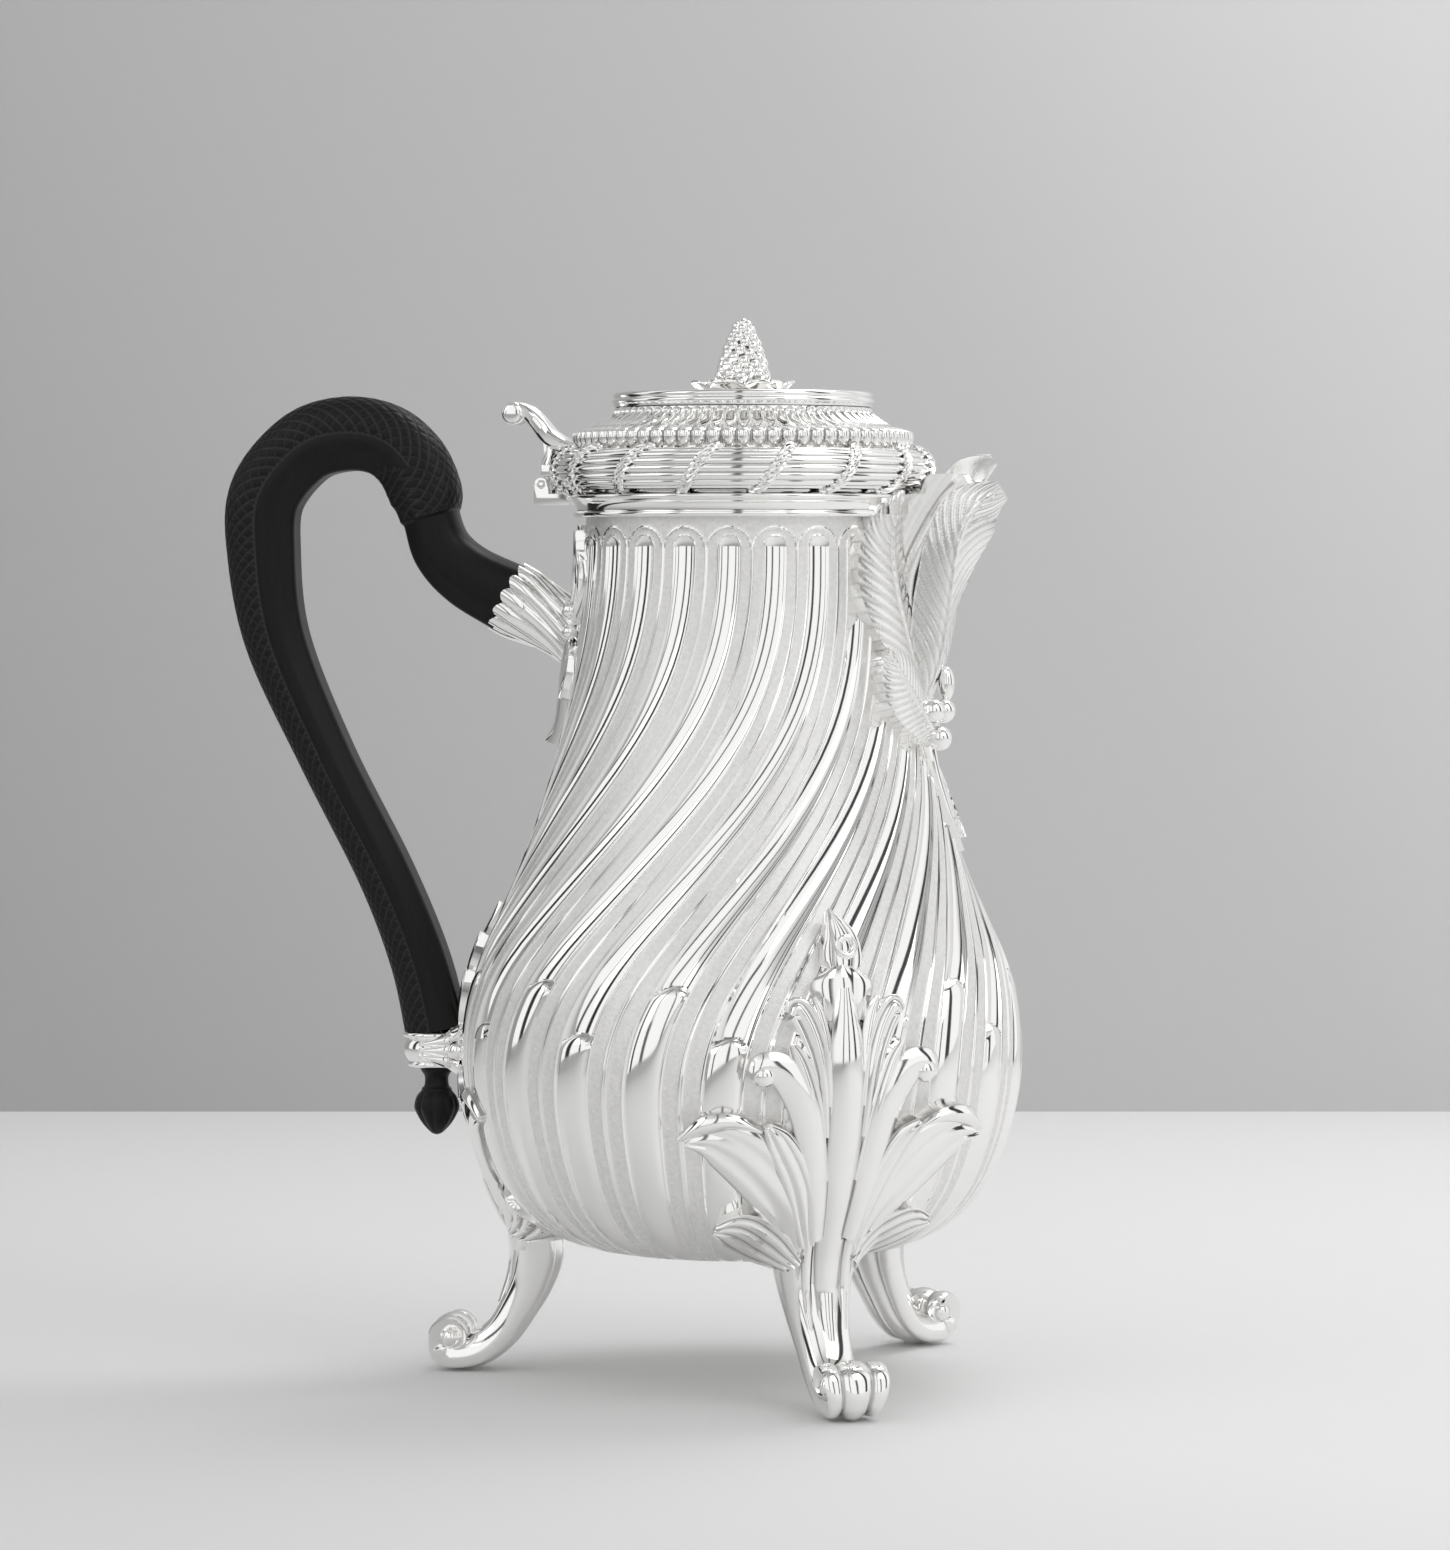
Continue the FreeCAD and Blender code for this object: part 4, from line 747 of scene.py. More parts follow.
# Upper handle socket: a cast leaf cup that takes the handle's tenon, pinned through, standing on
# a leaf mount that is soldered to the neck with berries beside it.
socket_slope = math.radians(28.0)
socket_in = np.array([math.cos(socket_slope), 0, -math.sin(socket_slope)])
socket_up = np.array([math.sin(socket_slope), 0, math.cos(socket_slope)])
socket_height = mouth_height - 29.0
socket_mouth = np.array([-(float(pot_radius(socket_height)) + 21.3), 0, socket_height])
socket_length, socket_lobes = 31.0, 13
socket_rows, socket_columns = 46, 182
lobe_foot, lobe_swell, lobe_twist, lobe_reach = 0.90, 0.12, 1.5, 1.5
socket_profile = [10.5, 10.4, 9.6, 8.9, 8.8, 9.6, 11.4, 14.0]
socket_bore, socket_bore_depth = 7.4, 3.0
sideways = np.array([0, 1, 0])
along = np.linspace(0, 1, socket_rows)[:, None]
turn = np.linspace(0, 2 * math.pi, socket_columns, endpoint=False)[None]
lobes = np.abs(np.cos(socket_lobes * (turn + lobe_twist * along ** 1.6) / 2))
radius = smooth(socket_profile, along[:, 0])[:, None] * (lobe_foot + lobe_swell * lobes ** 0.7)
start = -lobe_reach * lobes * (1 - along) ** 3
cup = (socket_mouth + socket_in * (along * socket_length + start)[..., None]
       + socket_up * (radius * np.cos(turn))[..., None] + sideways * (radius * np.sin(turn))[..., None])
# Painted shade in the clefts between the socket's lobes.
cup_painted_shade = np.broadcast_to(np.clip(0.25 - lobes, 0, 1) * 2.2, cup.shape[:2])
mouth_ring = socket_mouth + socket_in * socket_bore_depth + socket_bore * (
    socket_up * np.cos(turn[0])[:, None] + sideways * np.sin(turn[0])[:, None])
socket_part = ring_part(np.concatenate([mouth_ring[None], cup]), 0.0,
                        np.concatenate([cup_painted_shade[:1], cup_painted_shade]))
fix(piece("upper_socket_cast", [socket_part], silver, 60), "pot", "silver", "upper_handle_socket")


def mount_parts(azimuth, middle_leaves, paired_leaves, berries):
    """Leaves and berries of a handle mount, the paired ones on both sides."""
    place = on_pot(azimuth)
    parts = [leaf_part(spine, widths, fluted(3, 0.7, 0.8), thickness=3.8, place=place)
             for spine, widths in middle_leaves]
    for hand in (1, -1):
        parts += [leaf_part(on_hand(hand, spine), widths, fluted(2, 0.6, 0.5), thickness=3.6, place=place)
                  for spine, widths in paired_leaves]
        parts += [ball_part((hand * a, z, lift), r, place=place) for a, z, lift, r in berries]
    return parts


upper_mount = mount_parts(180, [
    ([(0, 216, 2.6), (0, 224, 2.8), (0, 231, 2.4), (0, 237.5, 1.8)], [6.0, 6.6, 5.0, 0.6]),
    ([(0, 208, 3.6), (0, 195, 3.0), (0, 182, 2.4), (0, 176, 4.2)], [9.0, 8.0, 4.6, 1.4]),
], [
    ([(3, 207, 2.2), (9, 214, 2.4), (14.5, 222, 2.4), (16, 230, 2.0)], [3.4, 5.0, 4.0, 0.6]),
    ([(4, 206, 2.2), (10, 198, 2.2), (13, 189, 2.4)], [3.2, 4.2, 0.7]),
    ([(2, 222, 2.0), (7, 229, 2.4), (9, 236, 2.4)], [2.2, 3.0, 0.6]),
], [(10.5, 213.5, 3.4, 2.6), (11.5, 207.5, 3.0, 2.2)])
fix(piece("upper_mount_cast", upper_mount, silver), "pot", "silver", "upper_handle_mount")

# Lower handle ferrule: a round cup with a moulded edge that holds the handle's foot, carried on
# leafy arms by a second leaf mount on the belly.
ferrule_low, ferrule_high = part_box("lower_handle_ferrule")
ferrule_bottom, ferrule_top = ferrule_low.z / MM, ferrule_high.z / MM
ferrule_radius = 9.3
ferrule_x = ferrule_low.x / MM + ferrule_radius
ferrule_middle = (ferrule_bottom + ferrule_top) / 2
ferrule_bore, drop_bore, ferrule_floor = 7.15, 2.75, 1.2
ferrule_outline = np.concatenate([
    [(drop_bore, ferrule_bottom)], arc((7.3, ferrule_bottom + 0.8), 0.8, -90, 60, 7),
    arc((7.5, ferrule_middle), 3.6, -60, 60, 15) * [0.62, 1] + [2.2, 0],
    arc((8.5, ferrule_top - 0.9), 0.9, -60, 90, 8), [(ferrule_bore, ferrule_top)],
    [(ferrule_bore, ferrule_bottom + ferrule_floor), (drop_bore, ferrule_bottom + ferrule_floor)]])
ferrule_parts = [turned_part(ferrule_outline, 96, (ferrule_x, 0))]
arm_end = -float(pot_radius(ferrule_middle)) - 2.2
arm_leaves = ((3.6, 2.6), (0.2, 3.0), (-3.2, 2.5))
for hand in (1, -1):
    for rise, size in arm_leaves:
        spine = [(ferrule_x - 3, hand * 8.6, ferrule_middle + rise * 0.5),
                 (ferrule_x + 4, hand * 8.6, ferrule_middle + rise * 0.8),
                 (arm_end - 1.5, hand * 7.4, ferrule_middle + rise),
                 (arm_end + 1.6, hand * 8.5, ferrule_middle + rise * 1.6)]
        ferrule_parts.append(leaf_part(spine, [0.6, size * 0.7, size, size * 0.9], fluted(0, 0.0, 1.3),
                                       [(0, hand, 0)] * 2, 3.6))
fix(piece("lower_ferrule_cast", ferrule_parts, silver), "pot", "silver", "lower_handle_ferrule")
lower_mount = mount_parts(180, [
    ([(0, 96, 2.4), (0, 108, 2.6), (0, 120, 2.2), (0, 131, 1.6)], [5.0, 6.4, 4.4, 0.5]),
    ([(0, 86, 2.4), (0, 78, 2.6), (0, 71, 2.2), (0, 65.5, 2.0)], [6.0, 7.0, 5.0, 0.6]),
], [
    ([(4, 95, 2.0), (9, 103, 2.4), (12, 113, 2.6)], [3.0, 4.2, 0.7]),
    ([(3, 104, 1.8), (6.5, 114, 2.4), (8, 123, 2.4)], [2.0, 2.8, 0.6]),
    ([(5, 88, 2.0), (10, 81, 2.4), (14, 76, 2.6)], [3.4, 4.4, 0.7]),
], [(11.5, 91, 2.6, 2.8)])
fix(piece("lower_mount_cast", lower_mount, silver), "pot", "silver", "lower_handle_mount")

# Handle: carved from one length of black wood, with a loop over the top. Its back and the knop at
# the top are cut with crossed lines, and its sides are left smooth with a bevel along the inside.
handle_width = 17.0
loop = socket_mouth + np.array([-45.6, 0, 19.5])
loop_radius = 26.7


def on_loop(angle, share=1.0):
    """A point on the loop over the top, at an angle and a share of its radius."""
    turned_by = math.radians(angle)
    return loop + np.array([math.cos(turned_by), 0, math.sin(turned_by)]) * loop_radius * share


handle_foot = np.array([ferrule_x, 0, ferrule_top])
loop_end = 193
limb_top = on_loop(loop_end)
limb_rise = limb_top[2] - handle_foot[2]
limb_guides = [limb_top, limb_top - np.array([0.006, 0, 0.32]) * limb_rise,
               handle_foot + np.array([-0.06, 0, 0.385]) * limb_rise, handle_foot]


def limb_point(share):
    """A point on the long limb, from the loop down to the ferrule."""
    rest = 1 - share
    weights = (rest ** 3, 3 * rest ** 2 * share, 3 * rest * share ** 2, share ** 3)
    return sum(point * weight for point, weight in zip(limb_guides, weights))


arm_middle, arm_bend = loop + np.array([33.6, 0, -13.2]), loop + np.array([26.2, 0, -6.0])
handle_stations = [
    (socket_mouth - socket_in * 0.2, 19.4), (arm_middle, 17.8), (arm_bend, 16.4),
    (on_loop(7.5, 0.865), 15.4), (on_loop(25, 0.88), 18.8), (on_loop(48, 0.95), 20.0), (on_loop(70), 20.4),
    (on_loop(95), 21.0), (on_loop(122), 21.0), (on_loop(158), 21.0), (on_loop(loop_end), 20.2),
    (limb_point(0.2), 17.8), (limb_point(0.45), 15.4), (limb_point(0.7), 15.4),
    (limb_point(0.87), 16.3), (handle_foot, 17.2)]
handle_path = [point for point, thick in handle_stations]
path_samples = 4001
dense = np.linspace(0, 1, path_samples)
fine_path = smooth(handle_path, dense)
lengths = np.concatenate([[0], np.cumsum(np.linalg.norm(np.diff(fine_path, axis=0), axis=1))])
hatch_step, hatch_every = 0.42, 8
handle_rows = int(lengths[-1] / hatch_step)
shares = np.interp(np.linspace(0, lengths[-1], handle_rows), lengths, dense)
middle = smooth(handle_path, shares)
thick = smooth(np.array([thick for point, thick in handle_stations]), shares)
forward = unit(np.gradient(middle, axis=0))
outward = np.stack([-forward[:, 2], np.zeros(handle_rows), forward[:, 0]], -1)
inside_middle = loop + np.array([6, 0, -30])
outward = outward * np.sign(np.sum(outward * (middle - inside_middle), -1))[:, None].mean(0)
hatched_columns, smooth_columns = 69, 40
back_turn = np.radians(np.linspace(-8, 188, hatched_columns))
back_y = np.sign(np.cos(back_turn)) * np.abs(np.cos(back_turn)) ** 0.8
back_t = 0.06 + 0.44 * np.sign(np.sin(back_turn)) * np.abs(np.sin(back_turn)) ** 0.9
half_inside = [(0.45, -0.5), (0.58, -0.47), (0.97, -0.20), (1, -0.06)]
inside = np.array([(-y, t) for y, t in reversed(half_inside)] + [(0, -0.5)] + half_inside)
inside_steps = np.diff(inside * [handle_width / 2, handle_width], axis=0)
inside_reach = np.concatenate([[0], np.cumsum(np.linalg.norm(inside_steps, axis=1))])
inside_at = np.linspace(0, inside_reach[-1], smooth_columns + 2)[1:-1]
inside_y = np.interp(inside_at, inside_reach, inside[:, 0])
inside_t = np.interp(inside_at, inside_reach, inside[:, 1])
section_y = np.concatenate([back_y, inside_y])
section_t = np.concatenate([back_t, inside_t])
column = np.arange(len(section_y))[None]
row = np.arange(handle_rows)[:, None]
station = (shares * (len(handle_stations) - 1))[:, None]
knop_start, knop_lip, knop_end, knop_fade = 3.0, 0.07, 5.3, 1.6
knop = np.clip((station - knop_start) / knop_lip, 0, 1) * np.clip((knop_end - station) / knop_fade, 0, 1)
cut_start, cut_depth = 3.1, 0.38
on_back = (column > 1) & (column < hatched_columns - 2)
round_end, round_sway = 4.6, 0.9
round_knop = station < round_end + round_sway * np.cos(math.pi * (section_t[None] + 0.5))
crossing = ((row + column) % hatch_every == 0) | ((row - column) % hatch_every == 0)
cut = np.where((station > cut_start) & (on_back | round_knop) & crossing, -cut_depth, 0.0)
border_start, border_depth = 4.8, 0.35
border = (column == 1) | (column == hatched_columns - 2)
cut = cut + np.where(border & (station > border_start), -border_depth, 0.0)
knop_swell, knop_spread = 0.07, 0.10
half_wide = handle_width / 2 * (1 + knop_spread * knop)
swollen = thick[:, None] * (1 + knop_swell * knop)
section = np.stack([section_y[None] * half_wide, section_t[None] * swollen], -1)
spread = unit(np.stack([section_y * 0.9, section_t * 2.0], -1))
section = section + spread[None] * cut[..., None]
handle_grid = middle[:, None] + outward[:, None] * section[..., 1:] + sideways * section[..., :1]
limb_middle = 12
foot_rows = (handle_grid[..., 2] < ferrule_top) & (station > limb_middle)
handle_grid[..., 2] = np.where(foot_rows, ferrule_top, handle_grid[..., 2])
wood_tones = (0.003, 0.003, 0.003, 1), (0.010, 0.0097, 0.0093, 1)
# A paler tone laid into the cuts.
cut_tone = (0.038, 0.038, 0.038, 1)
wood_rough, wood_shine = (0.30, 0.46), 0.2
pore_stretch, pore_detail = (900, 900, 90), 5.0
pore_strength, pore_depth = 0.12, 0.1


def black_wood_material():
    """Black wood with fine pores, a little paler in the cuts."""
    material, tree, shader = new_material("black_wood")
    place = add_node(tree, "ShaderNodeTexCoord")
    stretch = add_node(tree, "ShaderNodeMapping")
    feed(tree, stretch, {"Vector": place.outputs["Object"], "Scale": pore_stretch})
    noise = add_node(tree, "ShaderNodeTexNoise")
    feed(tree, noise, {"Vector": stretch.outputs["Vector"], "Scale": 1.0, "Detail": pore_detail})
    pores = noise.outputs["Fac"]
    tones = add_node(tree, "ShaderNodeValToRGB")
    feed(tree, tones, {"Fac": pores})
    for stop, tone in zip(tones.color_ramp.elements, wood_tones):
        stop.color = tone
    cuts = add_node(tree, "ShaderNodeAttribute", attribute_name="matte")
    bump = add_node(tree, "ShaderNodeBump")
    feed(tree, bump, {"Strength": pore_strength, "Distance": pore_depth * MM, "Height": pores})
    feed(tree, shader, {
        "Base Color": mixed(tree, "RGBA", cuts.outputs["Fac"], tones.outputs["Color"], cut_tone),
        "Roughness": ranged(tree, pores, *wood_rough),
        "Specular IOR Level": wood_shine,
        "Normal": bump.outputs["Normal"]})
    return material


black_wood = black_wood_material()
handle = piece("carved_handle", [ring_part(handle_grid, np.where(cut < 0, 1.0, 0.0))], black_wood)
fix(handle, "pot", "ebony", "handle")

# Handle drop: a turned and carved bud of the same wood, glued up into the handle's foot under
# the ferrule.
drop_profile = [(0.0, 0.0), (1.6, 0.7), (4.0, 3.4), (5.7, 6.6), (6.0, 8.4), (5.3, 11.0), (4.3, 12.6),
                (4.2, 13.2), (3.5, 14.0), (3.4, 16.4), (4.4, 18.2), (4.5, 19.3), (2.6, 19.3)]
drop_length, drop_row_count, drop_columns = 19.4, 60, 120
petal_waves, petal_top, petal_fade, petal_swell, drop_waist = 5, 12.8, 2, 0.08, 0.99
drop_rows = smooth(drop_profile, np.linspace(0, 1, drop_row_count))
drop_turn = np.linspace(0, 2 * math.pi, drop_columns, endpoint=False)
petals_end = np.clip((petal_top - drop_rows[:, 1:]) / petal_fade, 0, 1)
petals = np.abs(np.cos(petal_waves * drop_turn))[None] * petals_end
drop_r = np.maximum(drop_rows[:, :1], 0) * (drop_waist + petal_swell * petals)
drop_grid = np.stack([drop_r * np.cos(drop_turn) + ferrule_x, drop_r * np.sin(drop_turn),
                      np.repeat(drop_rows[:, 1:] + ferrule_bottom - drop_length, drop_columns, 1)], -1)
fix(piece("carved_drop", [ring_part(drop_grid)], black_wood), "pot", "ebony", "handle_drop")

# Lid: a raised silver cover with a row of lobes over the band, a hollow fluted shoulder and a
# flat crown, and a bezel soldered inside that drops into the mouth.
lid_low, lid_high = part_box("lid_dome")
lid_seat, crown_z = lid_low.z / MM, lid_high.z / MM
lid_radius = lid_high.y / MM
crown_radius = 35.5
band_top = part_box("lid_reeded_band")[1].z / MM
lid_lobes, lobe_steps = 70, 14
lid_turn = np.linspace(0, 2 * math.pi, lid_lobes * lobe_steps, endpoint=False)
lobe_share = (np.arange(lid_lobes * lobe_steps) % lobe_steps) / lobe_steps - 0.5 + 0.5 / lobe_steps
lid_wall, hollow_start = 1.0, 4.8
pearl_rise, pearl_half_share, pearl_middle, pearl_half = 2.0, 0.47, 3.1, 3.15
flute_depth, flute_half_share, flute_loss = 1.4, 0.42, 0.3
flute_foot, flute_foot_round, flute_head, flute_head_round = 7.8, 1.6, 1.8, 1.4


def lid_ring(radius, z):
    """One row of the lid at a height."""
    return np.stack([radius * np.cos(lid_turn), radius * np.sin(lid_turn), np.full_like(lid_turn, z)], -1)


shoulder_rows = []
shoulder_heights = np.concatenate([
    np.linspace(band_top - 3, band_top + 0.4, 3), np.linspace(band_top + 0.5, band_top + 6.4, 17),
    np.linspace(band_top + 6.6, crown_z - 0.2, 20)])
edge_radius = lid_radius + 0.6
for z in shoulder_heights:
    rise = np.clip((z - band_top - hollow_start) / (crown_z - band_top - hollow_start), 0, 1)
    radius = edge_radius - (edge_radius - crown_radius) * (1 - (1 - rise) ** 1.7)
    from_pearl = (lobe_share / pearl_half_share) ** 2 + ((z - band_top - pearl_middle) / pearl_half) ** 2
    pearl = np.clip(1 - from_pearl, 0, 1)
    low_end = np.clip((band_top + flute_foot - z) / flute_foot_round, 0, 1)
    high_end = np.clip((z - crown_z + flute_head) / flute_head_round, 0, 1)
    end = np.maximum(low_end, high_end)
    hollow = np.clip(1 - (lobe_share / flute_half_share) ** 2 - end ** 2, 0, 1) ** 0.7
    radius = radius + pearl_rise * np.sqrt(pearl) - flute_depth * hollow * (1 - flute_loss * rise)
    shoulder_rows.append(lid_ring(radius, z))
stud_bore, seat_bore = 1.55, 41.2
under_lid = [lid_ring(r, z) for r, z in (
    (stud_bore, crown_z - lid_wall), (crown_radius - 3, crown_z - lid_wall),
    (crown_radius - 3, crown_z - 2.4),
    (lid_radius - 3.4, lid_seat + 12.0), (lid_radius - 1.6, lid_seat + 8.0),
    (lid_radius - 1.6, lid_seat + lid_wall), (seat_bore, lid_seat + lid_wall), (seat_bore, lid_seat),
    (lid_radius - 0.2, lid_seat), (lid_radius, lid_seat + 0.2))]
over_lid = [lid_ring(r, z) for r, z in (
    (crown_radius - 0.6, crown_z), (crown_radius - 5, crown_z), (20, crown_z + 0.25),
    (stud_bore, crown_z + 0.3), (stud_bore, crown_z - lid_wall))]
lid_rows = np.array(under_lid + shoulder_rows + over_lid)
# Painted shade in the seams between the pearls of the lid's shoulder.
lid_painted_shade = np.zeros(lid_rows.shape[:2])
first_pearl_row = len(under_lid) + 3
pearl_rows, seam_share, seam_shade = 16, 0.46, 0.5
lid_painted_shade[first_pearl_row:first_pearl_row + pearl_rows, np.abs(lobe_share) > seam_share] = seam_shade
lid = piece("lid_cover", [ring_part(lid_rows, 0.0, lid_painted_shade, closed=False)], silver)
fix(lid, "lid", "silver", "lid_dome")


def rounded(corners, fillet, steps=5):
    """A closed outline with its corners rounded off."""
    corners = np.asarray(corners, float)
    outline = []
    for before, here, after in zip(np.roll(corners, 1, 0), corners, np.roll(corners, -1, 0)):
        back, on = before - here, after - here
        start = here + back * min(0.45, fillet / np.hypot(*back))
        end = here + on * min(0.45, fillet / np.hypot(*on))
        for share in np.linspace(0, 1, steps):
            outline.append((1 - share) ** 2 * start + 2 * share * (1 - share) * here + share ** 2 * end)
    return np.array(outline)


bezel_low, bezel_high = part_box("lid_bezel")
bezel_radius, bezel_bottom, bezel_wall = bezel_high.y / MM, bezel_low.z / MM, 0.8
bezel_corners = [(bezel_radius - bezel_wall, bezel_bottom), (bezel_radius, bezel_bottom),
                 (bezel_radius, lid_seat), (bezel_radius - bezel_wall, lid_seat)]
bezel = piece("lid_bezel_ring", [turned_part(rounded(bezel_corners, 0.25))], silver)
fix(bezel, "lid", "silver", "lid_bezel")


# Lid band: a half-round moulding of drawn silver reeds, soldered round the lid. Crossed ribbons of
# twisted wire are laid over it at even steps, as if they bound the reeds.
def maths(tree, operation, *sources):
    """The result of a sum on the outputs of other nodes or plain values."""
    node = add_node(tree, "ShaderNodeMath", operation=operation)
    feed(tree, node, dict(enumerate(sources)))
    return node.outputs[0]


def copy_tree(name, sizes):
    """A node tree for copies of a mesh, with named inputs for its sizes and its finish."""
    tree = bpy.data.node_groups.new(name, "GeometryNodeTree")
    for label, kind in (("Geometry", "Geometry"), *sizes, ("Finish", "Material")):
        tree.interface.new_socket(label, in_out="INPUT", socket_type="NodeSocket" + kind)
    tree.interface.new_socket("Geometry", in_out="OUTPUT", socket_type="NodeSocketGeometry")
    return tree, add_node(tree, "NodeGroupInput").outputs


def copies(name, source, tree, points, placing, values):
    """Copies of a mesh object on the points of its tree, as one plain mesh in its place."""
    given = tree.nodes["Group Input"].outputs
    place = add_node(tree, "GeometryNodeInstanceOnPoints")
    real = add_node(tree, "GeometryNodeRealizeInstances")
    finish = add_node(tree, "GeometryNodeSetMaterial")
    result = add_node(tree, "NodeGroupOutput")
    feed(tree, place, {"Points": points.outputs[0], "Instance": given["Geometry"], **placing})
    feed(tree, real, {0: place.outputs[0]})
    feed(tree, finish, {"Geometry": real.outputs[0], "Material": given["Finish"]})
    feed(tree, result, {0: finish.outputs[0]})
    modifier = source.modifiers.new("copies", "NODES")
    modifier.node_group = tree
    for socket in tree.interface.items_tree:
        if socket.in_out == "INPUT" and socket.name in values:
            modifier[socket.identifier] = values[socket.name]
    shown = source.evaluated_get(bpy.context.evaluated_depsgraph_get())
    mesh = bpy.data.meshes.new_from_object(shown)
    source.modifiers.clear()
    bpy.data.objects.remove(source)
    mesh.name = name
    return new_object(name, mesh)


def ring_of(name, source, count):
    """Silver copies of a mesh object set evenly round the pot's axis."""
    tree, given = copy_tree(name + "_ring", [("Count", "Int")])
    points = add_node(tree, "GeometryNodePoints")
    feed(tree, points, {"Count": given["Count"]})
    index = add_node(tree, "GeometryNodeInputIndex").outputs[0]
    turn_by = add_node(tree, "ShaderNodeCombineXYZ")
    share = maths(tree, "DIVIDE", index, given["Count"])
    feed(tree, turn_by, {"Z": maths(tree, "MULTIPLY", share, 2 * math.pi)})
    return copies(name, source, tree, points, {"Rotation": turn_by.outputs[0]},
                  {"Count": count, "Finish": silver})


band_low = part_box("lid_reeded_band")[0].z / MM
band_half = (band_top - band_low) / 2
band_flat, band_middle = 1.95, (band_low + band_top) / 2
reeds, reed_steps, reed_depth = 7, 9, 0.75
reed_angles = np.radians(np.linspace(-90, 90, reeds * reed_steps + 1))
reed_waves = np.abs(np.sin(math.pi * np.linspace(0, reeds, reeds * reed_steps + 1)))
reed_radius = band_half - reed_depth + reed_depth * reed_waves ** 0.6
reed_curve = np.stack([lid_radius + band_flat + reed_radius * np.cos(reed_angles),
                       band_middle + reed_radius * np.sin(reed_angles)], -1)
band_outline = np.concatenate([[(lid_radius, band_low + 0.1)], reed_curve, [(lid_radius, band_top - 0.1)]])
# Painted shade in the grooves between the reeds.
band_painted_shade = np.concatenate([[0], np.clip(0.3 - reed_waves, 0, 1) * 1.5, [0, 0]])[:, None]
band = piece("reeded_band", [turned_part(band_outline, 240, painted_shade=band_painted_shade)], silver, 75)
fix(band, "lid", "silver", "lid_reeded_band")

ribbon_count, ribbon_slant, ribbon_offset = 15, 6.8, -70.5
strand_count, strand_waves, strand_sway, strand_lift = 3, 7, 1.2, 0.4
strand_half, strand_thick, strand_step, ribbon_lift = 0.85, 0.6, 2.094, 0.45
climb_degrees = np.linspace(-84, 84, 57)
climb = np.radians(climb_degrees)
strand_ring = np.linspace(0, 2 * math.pi, 8, endpoint=False)
ribbon_parts = []
for strand in range(strand_count):
    wave = climb * strand_waves + strand * strand_step
    over = strand_lift * np.cos(wave)
    rise = band_half + ribbon_lift + over[:, None] + strand_thick * np.cos(strand_ring)
    sway = strand_sway * np.sin(wave)[:, None] + strand_half * np.sin(strand_ring)
    drift = np.radians(ribbon_offset + ribbon_slant * climb_degrees / 90)[:, None]
    drift = drift + sway / (lid_radius + band_half)
    reach = lid_radius + band_flat + rise * np.cos(climb)[:, None]
    z = band_middle + rise * np.sin(climb)[:, None]
    grid = np.stack([reach * np.cos(drift), reach * np.sin(drift), z], -1)
    ribbon_parts.append(ring_part(grid))
ribbons = ring_of("crossed_ribbons", piece("ribbon", ribbon_parts, silver), ribbon_count)
fix(ribbons, "lid", "silver", "lid_reeded_band")

# Crown ring: a plain half-round silver wire, bent to a hoop and soldered round the lid's crown,
# then polished.
ring_low, ring_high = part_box("lid_top_ring")
ring_radius, ring_bottom, ring_top = ring_high.y / MM, ring_low.z / MM, ring_high.z / MM
ring_width = 4.2
ring_outline = np.concatenate([
    [(ring_radius - ring_width, ring_bottom), (ring_radius - 0.5, ring_bottom)],
    arc((ring_radius - 0.9, ring_bottom + 1.5), 0.9, -60, 60, 7),
    [(ring_radius - 0.7, ring_bottom + 2.5)],
    arc((ring_radius - 1.5, ring_top - 1.1), 1.1, 0, 110, 9),
    [(ring_radius - ring_width + 0.6, ring_bottom + 1.8), (ring_radius - ring_width, ring_bottom + 0.6)]])
fix(piece("crown_ring", [turned_part(ring_outline, 200)], silver, 50), "lid", "silver", "lid_top_ring")

# Finial: a rosette of cast leaves under a cone of berries, held by a stud through the crown with
# a nut inside the lid.
rosette_low, rosette_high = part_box("finial_rosette")
rosette_z, rosette_top = rosette_low.z / MM, rosette_high.z / MM
petal_count = 7
petal_spine = [(4.5, 0, rosette_z + 2.2), (8.0, 0, rosette_z + 4.0), (11.2, 0, rosette_z + 5.6),
               (13.4, 0, rosette_z + 7.0), (14.6, 0, rosette_z + 7.4)]
petal = leaf_part(petal_spine, [3.2, 5.6, 6.2, 4.8, 0.6], veined(7, 2.0, 0.16, -0.5, 0.35),
                  [(-0.2, 0, 1), (-0.5, 0, 1)], 0.7, 24, 15)
petals_ring = ring_of("rosette_leaves", piece("petal", [petal], silver, 60), petal_count)
fix(petals_ring, "lid", "silver", "finial_rosette")
boss_corners = [(1.6, rosette_z + 0.3), (6.8, rosette_z + 0.3), (7.4, rosette_z + 2.4), (5.6, rosette_top),
                (1.6, rosette_top)]
boss = piece("rosette_boss", [turned_part(rounded(boss_corners, 0.8), 64)], silver)
fix(boss, "lid", "silver", "finial_rosette")

cone_low, cone_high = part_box("finial_berry_cone")
cone_bottom, cone_top = cone_low.z / MM, cone_high.z / MM
berry_count, berry_size, berry_turn = 62, 1.7, 2.39996
foot_size, tip_loss, crowding, cone_bulge = 1.12, 0.34, 1.25, 1.5
cone_sizes = {"Count": berry_count, "Height": (cone_top - cone_bottom - 2.6) * MM, "Foot Radius": 6.0 * MM,
              "Tip Radius": 1.3 * MM, "Bottom": (cone_bottom + 1.2) * MM, "Finish": silver}


